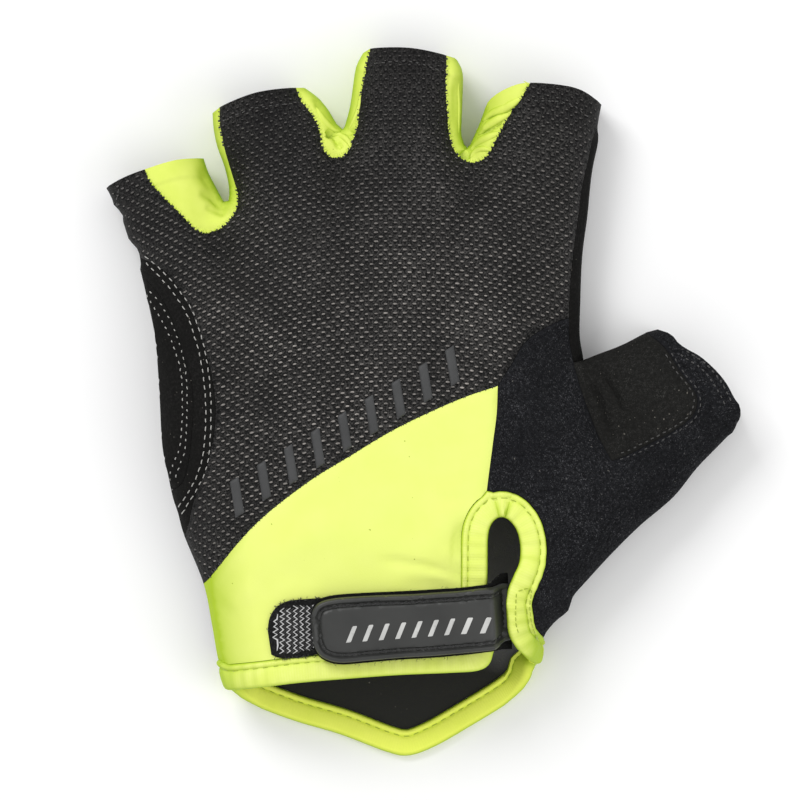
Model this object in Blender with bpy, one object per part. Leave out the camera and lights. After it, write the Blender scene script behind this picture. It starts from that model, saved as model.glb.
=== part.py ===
"""Left half-finger cycling glove, lying palm down with its back up.

+X is the thumb side, +Y the fingers, +Z up, metres. The glove rests on z = 0.

The glove is one soft form: a pillow whose plan outline is the silhouette, with
an upper and a lower surface that meet at the side seams. Every panel is a cut
of that form, bounded by seam lines, with its own wall. Seam lines are short
tables, drawn from above, whose rows are shares of the glove's width and length.
"""
import math

import bpy
import bmesh
import numpy as np
from mathutils import Vector
from mathutils.geometry import delaunay_2d_cdt

COLLECTION = "cycling_glove"

# Overall size, over the silhouette as it lies
GLOVE_WIDTH = 0.150
GLOVE_LENGTH = 0.167

# Heights of the lying glove
SIDE_SEAM_HEIGHT = 0.009
HAND_RISE = 0.0165
CUFF_RISE = 0.0140
FINGER_RISE = 0.0105
HAND_ROUNDING = 0.020
FINGER_ROUNDING = 0.011
PALM_ROUNDING = 0.008
KNUCKLE_BLEND = 0.030
THUMB_BLEND = 0.033

# Cloth and leather walls
MESH_WALL = 0.0012
STRETCH_WALL = 0.0012
KNIT_WALL = 0.0014
SUEDE_WALL = 0.0014
PAD_WALL = 0.0026
GUSSET_WALL = 0.0011
SEAM_GAP = 0.0004
PALM_SEAM_INSET = 0.0032

# Binding tape along the cuff and round the closing slit
BINDING_WIDTH = 0.0062
BINDING_COVER = 0.0006

# Closure
LAYER_GAP = 0.0003
LOOP_PATCH_THICKNESS = 0.0009
LOOP_PATCH_WIDTH = 0.0134
BACKING_THICKNESS = 0.0008
BACKING_MARGIN = 0.0006
STRAP_THICKNESS = 0.0020
STRAP_WIDTH = 0.0155
STRAP_END_THICKNESS = 0.0008
SLIT_BRIDGE_RISE = 0.0032
SLIT_BRIDGE_SLOPE = 0.0065

# Fineness of the faceted solids
LINE_STEP = 0.0038
SEAM_STEP = 0.0030
EDGE_STEP = 0.0020
SLIT_STEP = 0.0015
SIDE_STEP = 0.0010
ROUNDING_STEP = 0.0021
RIBBON_STEP = 0.0036
STRIP_STEP = 0.0050
GRID_STEP = 0.0046
PALM_GRID_STEP = 0.012
ROUNDING_ANGLES = (20.0, 42.0, 66.0)

# Lengths that the meshing needs
SAME_POINT = 0.0002
SLOPE_STEP = 0.0004
CORNER_BLEND = 0.0010

# Shares that the meshing needs: how much of an offset has to be left beside the line,
# how far inner points stay from the outline and from each other, and how far past its
# opening a finger or the cuff runs on, as a share of the glove's length
OFFSET_KEPT = 0.985
CLEAR_OF_OUTLINE = 0.42
CLEAR_OF_POINTS = 0.55
OPENING_REACH = 0.30

# Silhouette and seam lines. Rows: across, along, as shares of width and length
# from the middle of the outline.
LITTLE_SIDE = [
    (-0.308, -0.409), (-0.323, -0.365), (-0.333, -0.315), (-0.346, -0.258),
    (-0.376, -0.191), (-0.386, -0.159), (-0.397, -0.126), (-0.411, -0.053),
    (-0.415, 0.022), (-0.420, 0.079), (-0.432, 0.135), (-0.443, 0.177),
    (-0.446, 0.202), (-0.466, 0.237), (-0.480, 0.270), (-0.499, 0.301),
]
WRAP_SEAM = [
    (-0.376, -0.191), (-0.362, -0.139), (-0.341, -0.093), (-0.329, -0.048),
    (-0.327, 0.001), (-0.343, 0.072), (-0.374, 0.142), (-0.406, 0.181), (-0.446, 0.202),
]
PAD_SEAM = [
    (-0.397, -0.126), (-0.381, -0.116), (-0.368, -0.079), (-0.363, -0.024),
    (-0.365, 0.024), (-0.375, 0.058), (-0.387, 0.093), (-0.405, 0.130), (-0.421, 0.154),
    (-0.443, 0.177),
]
LITTLE_TIP = [(-0.499, 0.301), (-0.469, 0.315), (-0.437, 0.326), (-0.390, 0.339), (-0.346, 0.343)]
RING_TIP = [(-0.332, 0.407), (-0.321, 0.414), (-0.263, 0.434), (-0.199, 0.442), (-0.184, 0.441)]
MIDDLE_TIP = [(-0.095, 0.492), (-0.084, 0.497), (-0.021, 0.497), (0.037, 0.487), (0.053, 0.482)]
INDEX_TIP = [
    (0.095, 0.409), (0.108, 0.427), (0.133, 0.441), (0.167, 0.448), (0.236, 0.441), (0.280, 0.419),
]
LITTLE_RING_SIDE = [
    (-0.346, 0.343), (-0.338, 0.322), (-0.324, 0.298), (-0.314, 0.282), (-0.307, 0.283),
    (-0.306, 0.302), (-0.313, 0.331), (-0.324, 0.358), (-0.330, 0.383), (-0.332, 0.407),
]
LITTLE_RING_SEAM = [
    (-0.437, 0.326), (-0.426, 0.306), (-0.404, 0.284), (-0.376, 0.260), (-0.356, 0.242),
    (-0.338, 0.237), (-0.318, 0.245), (-0.300, 0.263), (-0.294, 0.286), (-0.302, 0.317),
    (-0.315, 0.357), (-0.321, 0.388), (-0.321, 0.414),
]
RING_MIDDLE_SIDE = [
    (-0.184, 0.441), (-0.164, 0.427), (-0.148, 0.409), (-0.137, 0.392), (-0.127, 0.384),
    (-0.121, 0.397), (-0.115, 0.419), (-0.111, 0.444), (-0.106, 0.472), (-0.095, 0.492),
]
RING_MIDDLE_SEAM = [
    (-0.199, 0.442), (-0.190, 0.423), (-0.172, 0.404), (-0.161, 0.381), (-0.157, 0.358),
    (-0.143, 0.343), (-0.125, 0.347), (-0.114, 0.366), (-0.105, 0.392), (-0.102, 0.420),
    (-0.096, 0.455), (-0.084, 0.497),
]
MIDDLE_INDEX_SIDE = [
    (0.053, 0.482), (0.062, 0.462), (0.061, 0.416), (0.060, 0.375), (0.069, 0.358),
    (0.079, 0.373), (0.090, 0.396), (0.095, 0.409),
]
MIDDLE_INDEX_SEAM = [
    (0.037, 0.487), (0.037, 0.451), (0.040, 0.409), (0.045, 0.369), (0.058, 0.346),
    (0.078, 0.337), (0.098, 0.346), (0.114, 0.372), (0.133, 0.403), (0.153, 0.427), (0.167, 0.448),
]
INDEX_SIDE = [
    (0.280, 0.419), (0.274, 0.388), (0.275, 0.367), (0.265, 0.322), (0.258, 0.261),
    (0.250, 0.205), (0.247, 0.142), (0.246, 0.093), (0.252, 0.058),
]
INDEX_STRIP_SEAM = [
    (0.274, 0.388), (0.264, 0.352), (0.251, 0.303), (0.245, 0.254), (0.236, 0.195),
    (0.231, 0.142), (0.230, 0.117), (0.231, 0.086), (0.237, 0.055),
]
THUMB_VALLEY = [
    (0.237, 0.055), (0.246, 0.022), (0.261, -0.015), (0.277, -0.051), (0.296, -0.083),
]
THUMB_UPPER_SIDE = [
    (0.252, 0.058), (0.277, 0.067), (0.312, 0.079), (0.351, 0.097), (0.368, 0.103),
]
THUMB_PATCH_SEAM = [
    (0.351, 0.097), (0.380, 0.073), (0.401, 0.042), (0.415, 0.026), (0.428, 0.006),
    (0.426, -0.015), (0.411, -0.031), (0.384, -0.046), (0.354, -0.060), (0.326, -0.073),
    (0.296, -0.083),
]
THUMB_TIP = [(0.368, 0.103), (0.406, 0.077), (0.439, 0.059), (0.475, 0.024), (0.500, -0.027)]
LOWER_SIDE = [
    (0.500, -0.027), (0.472, -0.056), (0.431, -0.094), (0.393, -0.136), (0.341, -0.176),
    (0.297, -0.215), (0.258, -0.253), (0.235, -0.277), (0.228, -0.296), (0.206, -0.313),
    (0.188, -0.336), (0.181, -0.372),
]
BACK_SEAM = [
    (-0.346, -0.258), (-0.268, -0.177), (-0.186, -0.117), (-0.115, -0.077),
    (-0.042, -0.038), (0.051, 0.001), (0.117, 0.022),
]
KNIT_SEAM = [(0.117, 0.022), (0.139, 0.053), (0.156, 0.079), (0.180, 0.097), (0.208, 0.110), (0.230, 0.117)]
THUMB_SEAM = [(0.117, 0.022), (0.115, -0.018), (0.109, -0.058), (0.103, -0.097), (0.099, -0.126)]
BACK_CUFF_EDGE = [
    (-0.308, -0.409), (-0.254, -0.403), (-0.194, -0.396), (-0.115, -0.390), (-0.037, -0.385),
    (0.042, -0.382), (0.086, -0.379), (0.104, -0.369), (0.111, -0.350),
]
SLIT_EDGE = [
    (0.111, -0.350), (0.103, -0.322), (0.100, -0.279), (0.100, -0.230), (0.101, -0.188),
    (0.108, -0.170), (0.120, -0.163), (0.133, -0.167), (0.145, -0.181), (0.151, -0.202),
    (0.150, -0.223), (0.142, -0.243), (0.133, -0.263), (0.128, -0.282), (0.131, -0.305),
    (0.136, -0.330), (0.150, -0.350), (0.167, -0.365), (0.181, -0.372),
]
PALM_CUFF_EDGE = [
    (0.181, -0.372), (0.167, -0.402), (0.136, -0.427), (0.073, -0.462), (0.018, -0.490),
    (-0.024, -0.503), (-0.060, -0.497), (-0.131, -0.473), (-0.199, -0.455), (-0.254, -0.437),
    (-0.288, -0.423), (-0.308, -0.409),
]

# Where the fingers join the hand. Rows: across, along.
KNUCKLE_LINE = [(-0.52, 0.19), (-0.34, 0.237), (-0.144, 0.344), (0.078, 0.338), (0.30, 0.30)]

# Middle of the thumb's root and the way the thumb points. Row: across, along.
THUMB_ROOT = (0.275, -0.040)
THUMB_DIRECTION_DEGREES = 43.0

# Folds and dents in the back. Rows: across, along, direction in degrees, length and
# width as shares of the glove's length, height as a share of the hand's rise.
FOLDS = [
    (0.262, -0.010, -62.0, 0.115, 0.040, -0.30),
    (-0.326, 0.222, -60.0, 0.055, 0.024, -0.16),
    (-0.138, 0.318, -88.0, 0.060, 0.026, -0.20),
    (0.072, 0.310, -92.0, 0.060, 0.026, -0.16),
    (0.190, -0.110, -70.0, 0.090, 0.026, -0.09),
    (0.215, 0.165, -75.0, 0.080, 0.030, -0.07),
    (-0.200, -0.200, 28.0, 0.090, 0.030, 0.05),
    (0.020, -0.190, 62.0, 0.070, 0.026, 0.05),
    (0.270, -0.200, 44.0, 0.070, 0.018, 0.06),
    (-0.020, 0.180, 85.0, 0.160, 0.050, 0.03),
]

# Where the slit's thumb-side tape rides over the strap's end. Row: across, along.
SLIT_BRIDGE = (0.152, -0.296)

# Strap, from its free end to the end under the tape. Rows: across, along, half width
# as a share of STRAP_WIDTH, thickness as a share of the way from STRAP_END_THICKNESS
# to STRAP_THICKNESS, and how far the strap has sunk from its seat on the patch to
# its seat under the tape.
STRAP_ROWS = [
    (-0.1740, -0.319, 0.20, 1.0, 0.0),
    (-0.1690, -0.320, 0.33, 1.0, 0.0),
    (-0.1580, -0.320, 0.43, 1.0, 0.0),
    (-0.1340, -0.320, 0.49, 1.0, 0.0),
    (-0.0900, -0.317, 0.49, 1.0, 0.0),
    (-0.0400, -0.314, 0.48, 1.0, 0.0),
    (0.0150, -0.311, 0.48, 1.0, 0.0),
    (0.0600, -0.308, 0.47, 1.0, 0.0),
    (0.1030, -0.303, 0.47, 1.0, 0.0),
    (0.1100, -0.301, 0.49, 0.5, 0.28),
    (0.1180, -0.298, 0.52, 0.0, 0.72),
    (0.1260, -0.296, 0.54, 0.0, 1.0),
    (0.1370, -0.296, 0.54, 0.0, 1.0),
]
LOOP_PATCH_ROWS = [
    (-0.2400, -0.338, 0.22), (-0.2350, -0.331, 0.35), (-0.2240, -0.325, 0.45),
    (-0.2050, -0.320, 0.50), (-0.1700, -0.316, 0.49), (-0.1200, -0.311, 0.46),
    (-0.0500, -0.306, 0.44), (0.0350, -0.302, 0.42),
]

# Section of the tape. Rows: across from the middle as a share of its width, height as
# a share of half its thickness.
TAPE_SECTION = [
    (-0.5, 0.0), (-0.42, 0.8), (0.0, 1.0), (0.42, 0.8),
    (0.5, 0.0), (0.42, -0.8), (0.0, -1.0), (-0.42, -0.8),
]
ACROSS_STRAP = (-1.0, -0.55, 0.0, 0.55, 1.0)

# Colour (linear), roughness, metallic
MATERIALS = {
    "black_mesh": ((0.016, 0.016, 0.017), 0.70, 0.0),
    "black_knit": ((0.012, 0.012, 0.014), 0.85, 0.0),
    "black_suede": ((0.014, 0.013, 0.012), 0.90, 0.0),
    "neon_stretch": ((0.72, 0.90, 0.06), 0.55, 0.0),
    "neon_tape": ((0.70, 0.88, 0.06), 0.45, 0.0),
    "grey_rubber": ((0.055, 0.058, 0.058), 0.50, 0.0),
    "black_backing": ((0.010, 0.010, 0.010), 0.90, 0.0),
    "loop_knit": ((0.28, 0.28, 0.28), 0.90, 0.0),
}

TOP = 1
BOTTOM = -1


def plan(row):
    """Plan point of a table row."""
    return np.array([row[0] * GLOVE_WIDTH, row[1] * GLOVE_LENGTH])


def spline_parts(table, step):
    """A smooth line through a table's rows, as one run of points between each two rows."""
    rows = np.array([plan(row) for row in table])
    padded = np.vstack([2 * rows[0] - rows[1], rows, 2 * rows[-1] - rows[-2]])
    parts = []
    for i in range(1, len(padded) - 2):
        before, start, end, after = padded[i - 1:i + 3]
        count = max(1, int(round(np.linalg.norm(end - start) / step)))
        t = np.linspace(0.0, 1.0, count + 1)[:, None]
        parts.append(0.5 * (2 * start + (end - before) * t
                            + (2 * before - 5 * start + 4 * end - after) * t ** 2
                            + (3 * start - before - 3 * end + after) * t ** 3))
    return parts


def line(table, first=0, last=None, step=None):
    """Points along a table from one row to another, backwards when first > last."""
    parts = spline_parts(table, step or LINE_STEP)
    last = len(parts) if last is None else last
    if first > last:
        return line(table, last, first, step)[::-1]
    run = [parts[i][:-1] for i in range(first, last)]
    return np.vstack(run + [parts[last - 1][-1:]])


def resample(points, step):
    """The same line with evenly spaced points, its ends kept."""
    lengths = np.linalg.norm(np.diff(points, axis=0), axis=1)
    along = np.concatenate([[0.0], np.cumsum(lengths)])
    count = max(2, int(round(along[-1] / step)) + 1)
    wanted = np.linspace(0.0, along[-1], count)
    return np.column_stack([np.interp(wanted, along, points[:, k]) for k in range(points.shape[1])])


def trimmed(points, from_start, from_end):
    """The same line cut short by a distance at each end."""
    lengths = np.linalg.norm(np.diff(points, axis=0), axis=1)
    along = np.concatenate([[0.0], np.cumsum(lengths)])
    ends = (from_start, along[-1] - from_end)
    cuts = [[np.interp(end, along, points[:, k]) for k in range(2)] for end in ends]
    between = points[(along > ends[0] + SAME_POINT) & (along < ends[1] - SAME_POINT)]
    return np.vstack([cuts[:1], between, cuts[1:]])


def side_offset(points, distance):
    """Line moved to its left by a distance, without the loops that tight bends would make."""
    forward = np.gradient(points, axis=0)
    forward /= np.linalg.norm(forward, axis=1)[:, None]
    moved = points + distance * np.column_stack([-forward[:, 1], forward[:, 0]])
    clear = distance_to_line(moved, points)[0] > abs(distance) * OFFSET_KEPT
    clear[0] = clear[-1] = True
    return moved[clear]


def distance_to_line(points, corners):
    """Distance from each point to a line, and the nearest place on it."""
    start = corners[:-1]
    span = corners[1:] - start
    span_squared = np.maximum((span ** 2).sum(axis=1), 1e-18)
    t = ((points[:, None, :] - start[None]) * span[None]).sum(axis=2) / span_squared
    t = np.clip(t, 0.0, 1.0)
    places = start[None] + t[:, :, None] * span[None]
    gaps = np.linalg.norm(points[:, None, :] - places, axis=2)
    nearest = gaps.argmin(axis=1)
    rows = np.arange(len(points))
    return gaps[rows, nearest], nearest, t[rows, nearest]


def is_inside(points, outline):
    """Which points lie inside a closed outline."""
    x, y = points[:, 0][:, None], points[:, 1][:, None]
    x0, y0 = outline[:, 0][None], outline[:, 1][None]
    x1, y1 = np.roll(outline[:, 0], -1)[None], np.roll(outline[:, 1], -1)[None]
    crosses = (y0 > y) != (y1 > y)
    rise = np.where(y1 == y0, 1e-12, y1 - y0)
    return (crosses & (x < (x1 - x0) * (y - y0) / rise + x0)).sum(axis=1) % 2 == 1


def ease(value, low, high):
    """Smooth step from 0 at low to 1 at high."""
    t = np.clip((value - low) / (high - low), 0.0, 1.0)
    return t * t * (3.0 - 2.0 * t)


class Form:
    """The glove's soft form: upper and lower surface over one silhouette."""

    def __init__(self):
        reach = OPENING_REACH * GLOVE_LENGTH
        up = {name: self.way_out(tip) * reach for name, tip in (
            ("little", LITTLE_TIP), ("ring", RING_TIP), ("middle", MIDDLE_TIP),
            ("index", INDEX_TIP), ("thumb", THUMB_TIP))}
        cuff = np.array([0.0, -reach])
        runs = [
            plan(LITTLE_SIDE[0])[None] + cuff, line(LITTLE_SIDE),
            plan(LITTLE_TIP[0])[None] + up["little"], plan(LITTLE_TIP[-1])[None] + up["little"],
            line(LITTLE_RING_SIDE),
            plan(RING_TIP[0])[None] + up["ring"], plan(RING_TIP[-1])[None] + up["ring"],
            line(RING_MIDDLE_SIDE),
            plan(MIDDLE_TIP[0])[None] + up["middle"], plan(MIDDLE_TIP[-1])[None] + up["middle"],
            line(MIDDLE_INDEX_SIDE),
            plan(INDEX_TIP[0])[None] + up["index"], plan(INDEX_TIP[-1])[None] + up["index"],
            line(INDEX_SIDE)[:-1], line(THUMB_UPPER_SIDE),
            plan(THUMB_TIP[0])[None] + up["thumb"], plan(THUMB_TIP[-1])[None] + up["thumb"],
            line(LOWER_SIDE), plan(LOWER_SIDE[-1])[None] + cuff,
        ]
        self.silhouette = np.vstack(runs)
        closed = np.vstack([self.silhouette, self.silhouette[:1]])
        self.closed = closed
        forward = np.diff(closed, axis=0)
        forward /= np.linalg.norm(forward, axis=1)[:, None]
        inward = np.column_stack([forward[:, 1], -forward[:, 0]])
        corner = inward + np.roll(inward, 1, axis=0)
        corner /= np.linalg.norm(corner, axis=1)[:, None]
        self.corner_inward = np.vstack([corner, corner[:1]])

    @staticmethod
    def way_out(tip):
        """Direction in which a finger leaves through its opening."""
        across = plan(tip[-1]) - plan(tip[0])
        return np.array([-across[1], across[0]]) / np.linalg.norm(across)

    def inset(self, points):
        """Depth inside the silhouette, and the direction in which it grows."""
        depth, segment, t = distance_to_line(points, self.closed)
        places = self.closed[segment] + t[:, None] * (self.closed[segment + 1] - self.closed[segment])
        mixed = ((1 - t)[:, None] * self.corner_inward[segment]
                 + t[:, None] * self.corner_inward[segment + 1])
        away = points - places
        share = ease(depth, SAME_POINT, CORNER_BLEND)[:, None]
        away = away / np.maximum(depth, 1e-9)[:, None]
        inward = (1 - share) * mixed + share * away
        return depth, inward / np.maximum(np.linalg.norm(inward, axis=1), 1e-9)[:, None]

    def shape(self, points):
        """Rise of the back and width of its rounding, at each point."""
        share_x = points[:, 0] / GLOVE_WIDTH
        share_y = points[:, 1] / GLOVE_LENGTH
        knuckles = np.array(KNUCKLE_LINE)
        below = (np.interp(share_x, knuckles[:, 0], knuckles[:, 1]) - share_y) * GLOVE_LENGTH
        hand = ease(below, -0.15 * KNUCKLE_BLEND, KNUCKLE_BLEND)
        turn = math.radians(THUMB_DIRECTION_DEGREES)
        way = np.array([math.cos(turn), math.sin(turn)])
        outward = (points - plan(THUMB_ROOT)) @ way
        hand = hand * (1.0 - ease(outward, -0.75 * THUMB_BLEND, 0.25 * THUMB_BLEND))
        cuff = ease(-share_y, 0.18, 0.42)
        crest = HAND_RISE + (CUFF_RISE - HAND_RISE) * cuff
        rise = FINGER_RISE + (crest - FINGER_RISE) * hand
        rounding = FINGER_ROUNDING + (HAND_ROUNDING - FINGER_ROUNDING) * hand
        return rise, rounding

    def folds(self, points):
        """Height that folds and dents add where the back is fully risen."""
        total = np.zeros(len(points))
        for row in FOLDS:
            turn = math.radians(row[2])
            away = points - plan(row)
            along = away @ np.array([math.cos(turn), math.sin(turn)]) / (row[3] * GLOVE_LENGTH)
            across = away @ np.array([-math.sin(turn), math.cos(turn)]) / (row[4] * GLOVE_LENGTH)
            total += row[5] * HAND_RISE * np.exp(-along ** 2 - across ** 2)
        return total

    def bridge(self, points):
        """Height of the bulge where tape and panel ride over the strap's end."""
        away = points - plan(SLIT_BRIDGE)
        slope = np.where(away[:, 0] < 0.0, 0.35, 1.0) * SLIT_BRIDGE_SLOPE
        away = np.abs(away)
        flat_x = 0.5 * BINDING_WIDTH + SEAM_GAP
        flat_y = 0.5 * STRAP_WIDTH + 2 * BACKING_MARGIN + SEAM_GAP
        across = 1.0 - ease(away[:, 0], flat_x, flat_x + slope)
        along = 1.0 - ease(away[:, 1], flat_y, flat_y + SLIT_BRIDGE_SLOPE)
        shoulder = ease(self.inset(points)[0], 0.0, 0.5 * SLIT_BRIDGE_SLOPE)
        return SLIT_BRIDGE_RISE * across * along * shoulder

    def surface(self, points, side, bridged=True):
        """Outer points and outward normals of the upper or lower surface."""
        depth, inward = self.inset(points)
        bridge = np.zeros(len(points))
        if side == TOP:
            rise, rounding = self.shape(points)
            rise = rise + self.folds(points)
            if bridged:
                bridge = self.bridge(points)
        else:
            rise = np.full(len(points), SIDE_SEAM_HEIGHT)
            rounding = np.full(len(points), PALM_ROUNDING)
        t = np.clip(depth / rounding, 0.0, 1.0)
        bulge = np.sqrt(t * (2.0 - t))
        slope = np.zeros((len(points), 2))
        if side == TOP:
            for k in range(2):
                shift = np.zeros(2)
                shift[k] = SLOPE_STEP
                ahead = self.shape(points + shift)[0] + self.folds(points + shift)
                back = self.shape(points - shift)[0] + self.folds(points - shift)
                slope[:, k] = (ahead - back) / (2 * SLOPE_STEP)
                if bridged:
                    change = self.bridge(points + shift) - self.bridge(points - shift)
                    slope[:, k] += change / (2 * SLOPE_STEP)
        flat = -(rise / rounding * (1.0 - t))[:, None] * inward - bulge[:, None] * slope
        normals = np.column_stack([flat, side * bulge])
        if side == TOP:
            height = SIDE_SEAM_HEIGHT + rise * bulge + bridge
        else:
            height = SIDE_SEAM_HEIGHT * (1.0 - bulge)
        normals /= np.linalg.norm(normals, axis=1)[:, None]
        return np.column_stack([points, height]), normals

    def rounding_points(self, side):
        """Plan points in rows beside the silhouette, where the surface turns fastest."""
        rows = []
        for angle in ROUNDING_ANGLES:
            lines = resample(self.closed, LINE_STEP)
            inward = self.inset(lines)[1]
            if side == TOP:
                rounding = self.shape(lines + inward * FINGER_ROUNDING)[1]
            else:
                rounding = np.full(len(lines), PALM_ROUNDING)
            reach = rounding * (1.0 - math.cos(math.radians(angle)))
            moved = lines + inward * reach[:, None]
            kept = self.inset(moved)[0] > reach * 0.9
            rows.append(moved[kept])
        return np.vstack(rows)


def grid_points(step):
    """Staggered plan grid over the whole glove."""
    rows = []
    row_step = step * math.sqrt(3) / 2
    for j in range(-int(0.6 * GLOVE_LENGTH / row_step), int(0.6 * GLOVE_LENGTH / row_step) + 1):
        x = np.arange(-0.6 * GLOVE_WIDTH, 0.6 * GLOVE_WIDTH, step) + (j % 2) * step / 2
        rows.append(np.column_stack([x, np.full(len(x), j * row_step)]))
    return np.vstack(rows)


def spread_inside(outline, seeds, spacings):
    """Seed points that lie inside an outline, clear of it and of each other."""
    closed = np.vstack([outline, outline[:1]])
    kept = np.zeros((0, 2))
    for points, spacing in zip(seeds, spacings):
        points = points[is_inside(points, outline)]
        if len(points) == 0:
            continue
        points = points[distance_to_line(points, closed)[0] > CLEAR_OF_OUTLINE * spacing]
        apart = (CLEAR_OF_POINTS * spacing) ** 2
        for point in points:
            if len(kept) == 0 or ((kept - point) ** 2).sum(axis=1).min() > apart:
                kept = np.vstack([kept, point])
    return kept


def fill(outline, form, side):
    """Triangles of a plan outline, with inner points where the surface bends."""
    outline = tidy(outline)
    far = GRID_STEP if side == TOP else PALM_GRID_STEP
    seeds = (form.rounding_points(side), grid_points(far))
    inner = spread_inside(outline, seeds, (ROUNDING_STEP, far))
    points = np.vstack([outline, inner])
    loop = list(range(len(outline)))
    result = delaunay_2d_cdt([Vector(p) for p in points], [], [loop], 1, 1e-7)
    flat = np.array([tuple(v) for v in result[0]])
    faces = []
    for face in result[2]:
        a, b, c = (flat[i] for i in face[:3])
        turn = (b[0] - a[0]) * (c[1] - a[1]) - (b[1] - a[1]) * (c[0] - a[0])
        if abs(turn) < 1e-11:
            continue
        faces.append(tuple(face) if turn > 0 else tuple(reversed(face)))
    return flat, faces


def tidy(outline):
    """Outline without repeated points."""
    kept = [outline[0]]
    for point in outline[1:]:
        if np.linalg.norm(point - kept[-1]) > SAME_POINT:
            kept.append(point)
    if np.linalg.norm(kept[0] - kept[-1]) < SAME_POINT:
        kept.pop()
    return np.array(kept)


def sheet(form, patches):
    """Outer points, normals and faces of patches welded where they meet at the side."""
    points, normals, faces, known = [], [], [], {}
    for outline, side in patches:
        flat, triangles = fill(np.vstack(outline), form, side)
        outer, outward = form.surface(flat, side)
        depth = form.inset(flat)[0]
        index = []
        for i, place in enumerate(flat):
            on_side = depth[i] < 2e-6
            key = (round(place[0] * 1e6), round(place[1] * 1e6), 0 if on_side else side)
            if key not in known:
                known[key] = len(points)
                points.append(outer[i])
                normal = outward[i]
                if on_side:
                    normal = np.array([normal[0], normal[1], 0.0])
                    normal = normal / np.linalg.norm(normal)
                normals.append(normal)
            index.append(known[key])
        for face in triangles:
            face = tuple(index[i] for i in face)
            faces.append(face if side == TOP else tuple(reversed(face)))
    return np.array(points), np.array(normals), faces


def edge_runs(faces):
    """Next and previous point of each point on the sheet's edge."""
    directed = set()
    for face in faces:
        for a, b in zip(face, face[1:] + face[:1]):
            directed.add((a, b))
    follows = {a: b for a, b in directed if (b, a) not in directed}
    precedes = {b: a for a, b in follows.items()}
    return follows, precedes


def panel(form, patches, wall):
    """Closed wall of welded patches, drawn back from its seams by half the seam gap.

    Neighbours share their seam points and the form's normals there, so their
    walls stay parallel across the seam all the way in.
    """
    points, normals, faces = sheet(form, patches)
    follows, precedes = edge_runs(faces)
    moved = points.copy()
    for i, after in follows.items():
        before = precedes[i]
        ways = []
        for start, end in ((before, i), (i, after)):
            along = points[end] - points[start]
            way = np.cross(normals[i], along)
            ways.append(way / max(np.linalg.norm(way), 1e-12))
        inward = ways[0] + ways[1]
        size = np.linalg.norm(inward)
        stretch = min(2.0 / max(size, 0.5), 1.6)
        moved[i] = points[i] + inward / max(size, 1e-9) * (0.5 * SEAM_GAP * stretch)
    moved[:, 2] = np.maximum(moved[:, 2], 0.0)
    count = len(points)
    inner = moved - wall * normals
    solid = [tuple(face) for face in faces]
    solid += [tuple(i + count for i in reversed(face)) for face in faces]
    solid += [(b, a, a + count, b + count) for a, b in follows.items()]
    return np.vstack([moved, inner]), solid


def loft(rings):
    """Closed solid through rings of equally many points."""
    size = len(rings[0])
    points = np.vstack(rings)
    faces = []
    for k in range(len(rings) - 1):
        for i in range(size):
            j = (i + 1) % size
            faces.append((k * size + i, k * size + j, (k + 1) * size + j, (k + 1) * size + i))
    faces.append(tuple(reversed(range(size))))
    faces.append(tuple((len(rings) - 1) * size + i for i in range(size)))
    return points, faces


def tape(form, edge, inner, side, butts=False):
    """Binding tape between the free edge and its inner line; one that butts ends a gap short."""
    total = np.linalg.norm(np.diff(edge, axis=0), axis=1).sum()
    count = int(round(total / RIBBON_STEP)) + 1
    rails = []
    for rail in (edge, inner):
        length = np.linalg.norm(np.diff(rail, axis=0), axis=1).sum()
        rails.append(resample(rail, length / (count - 1)))
    if butts:
        face = rails[1][-1] - rails[0][-1]
        back = np.array([-face[1], face[0]]) / np.linalg.norm(face)
        if back @ (rails[0][-2] + rails[1][-2] - rails[0][-1] - rails[1][-1]) < 0.0:
            back = -back
        for rail in rails:
            rail[-1] = rail[-1] + back * SEAM_GAP
    half = 0.5 * max(MESH_WALL, SUEDE_WALL) + BINDING_COVER
    rings = []
    for start, end in zip(*rails):
        flat = np.array([start + (share + 0.5) * (end - start) for share, _ in TAPE_SECTION])
        outer, normals = form.surface(flat, side)
        levels = np.array([height for _, height in TAPE_SECTION]) * half
        middle = 0.5 * MESH_WALL if side == TOP else half
        ring = outer + (levels - middle)[:, None] * normals
        seam = SIDE_SEAM_HEIGHT + side * 0.75 * SEAM_GAP
        ring[:, 2] = np.maximum(ring[:, 2], seam) if side == TOP else np.minimum(ring[:, 2], seam)
        rings.append(ring)
    return loft(rings)


def nearest_row(points, place):
    """Index of the point nearest a place."""
    return int(np.linalg.norm(points - place, axis=1).argmin())


def finer(rows, step):
    """Table rows with straight steps filled in, so that layers follow the form alike."""
    made = [rows[0]]
    for row in rows[1:]:
        before = made[-1]
        gap = np.linalg.norm(plan(row) - plan(before))
        count = max(1, int(math.ceil(gap / step)))
        made += [tuple(a + (b - a) * k / count for a, b in zip(before, row))
                 for k in range(1, count + 1)]
    return made


def strip_rings(form, rows, width, layers, margin=0.0):
    """Rings of a flat strip that follows the back, between each row's under and upper level."""
    rings = []
    centres = np.array([plan(row) for row in rows])
    forward = (centres[-1] - centres[0]) / np.linalg.norm(centres[-1] - centres[0])
    left = np.array([-forward[1], forward[0]])
    for k, row in enumerate(rows):
        reach = np.array(ACROSS_STRAP) * row[2] * width
        reach[[0, -1]] += np.array([-margin, margin])
        flat = centres[k] + reach[:, None] * left
        outer, normals = form.surface(flat, TOP, bridged=False)
        low, high = layers[k]
        rings.append(np.vstack([outer + low * normals, (outer + high * normals)[::-1]]))
    return rings


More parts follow.
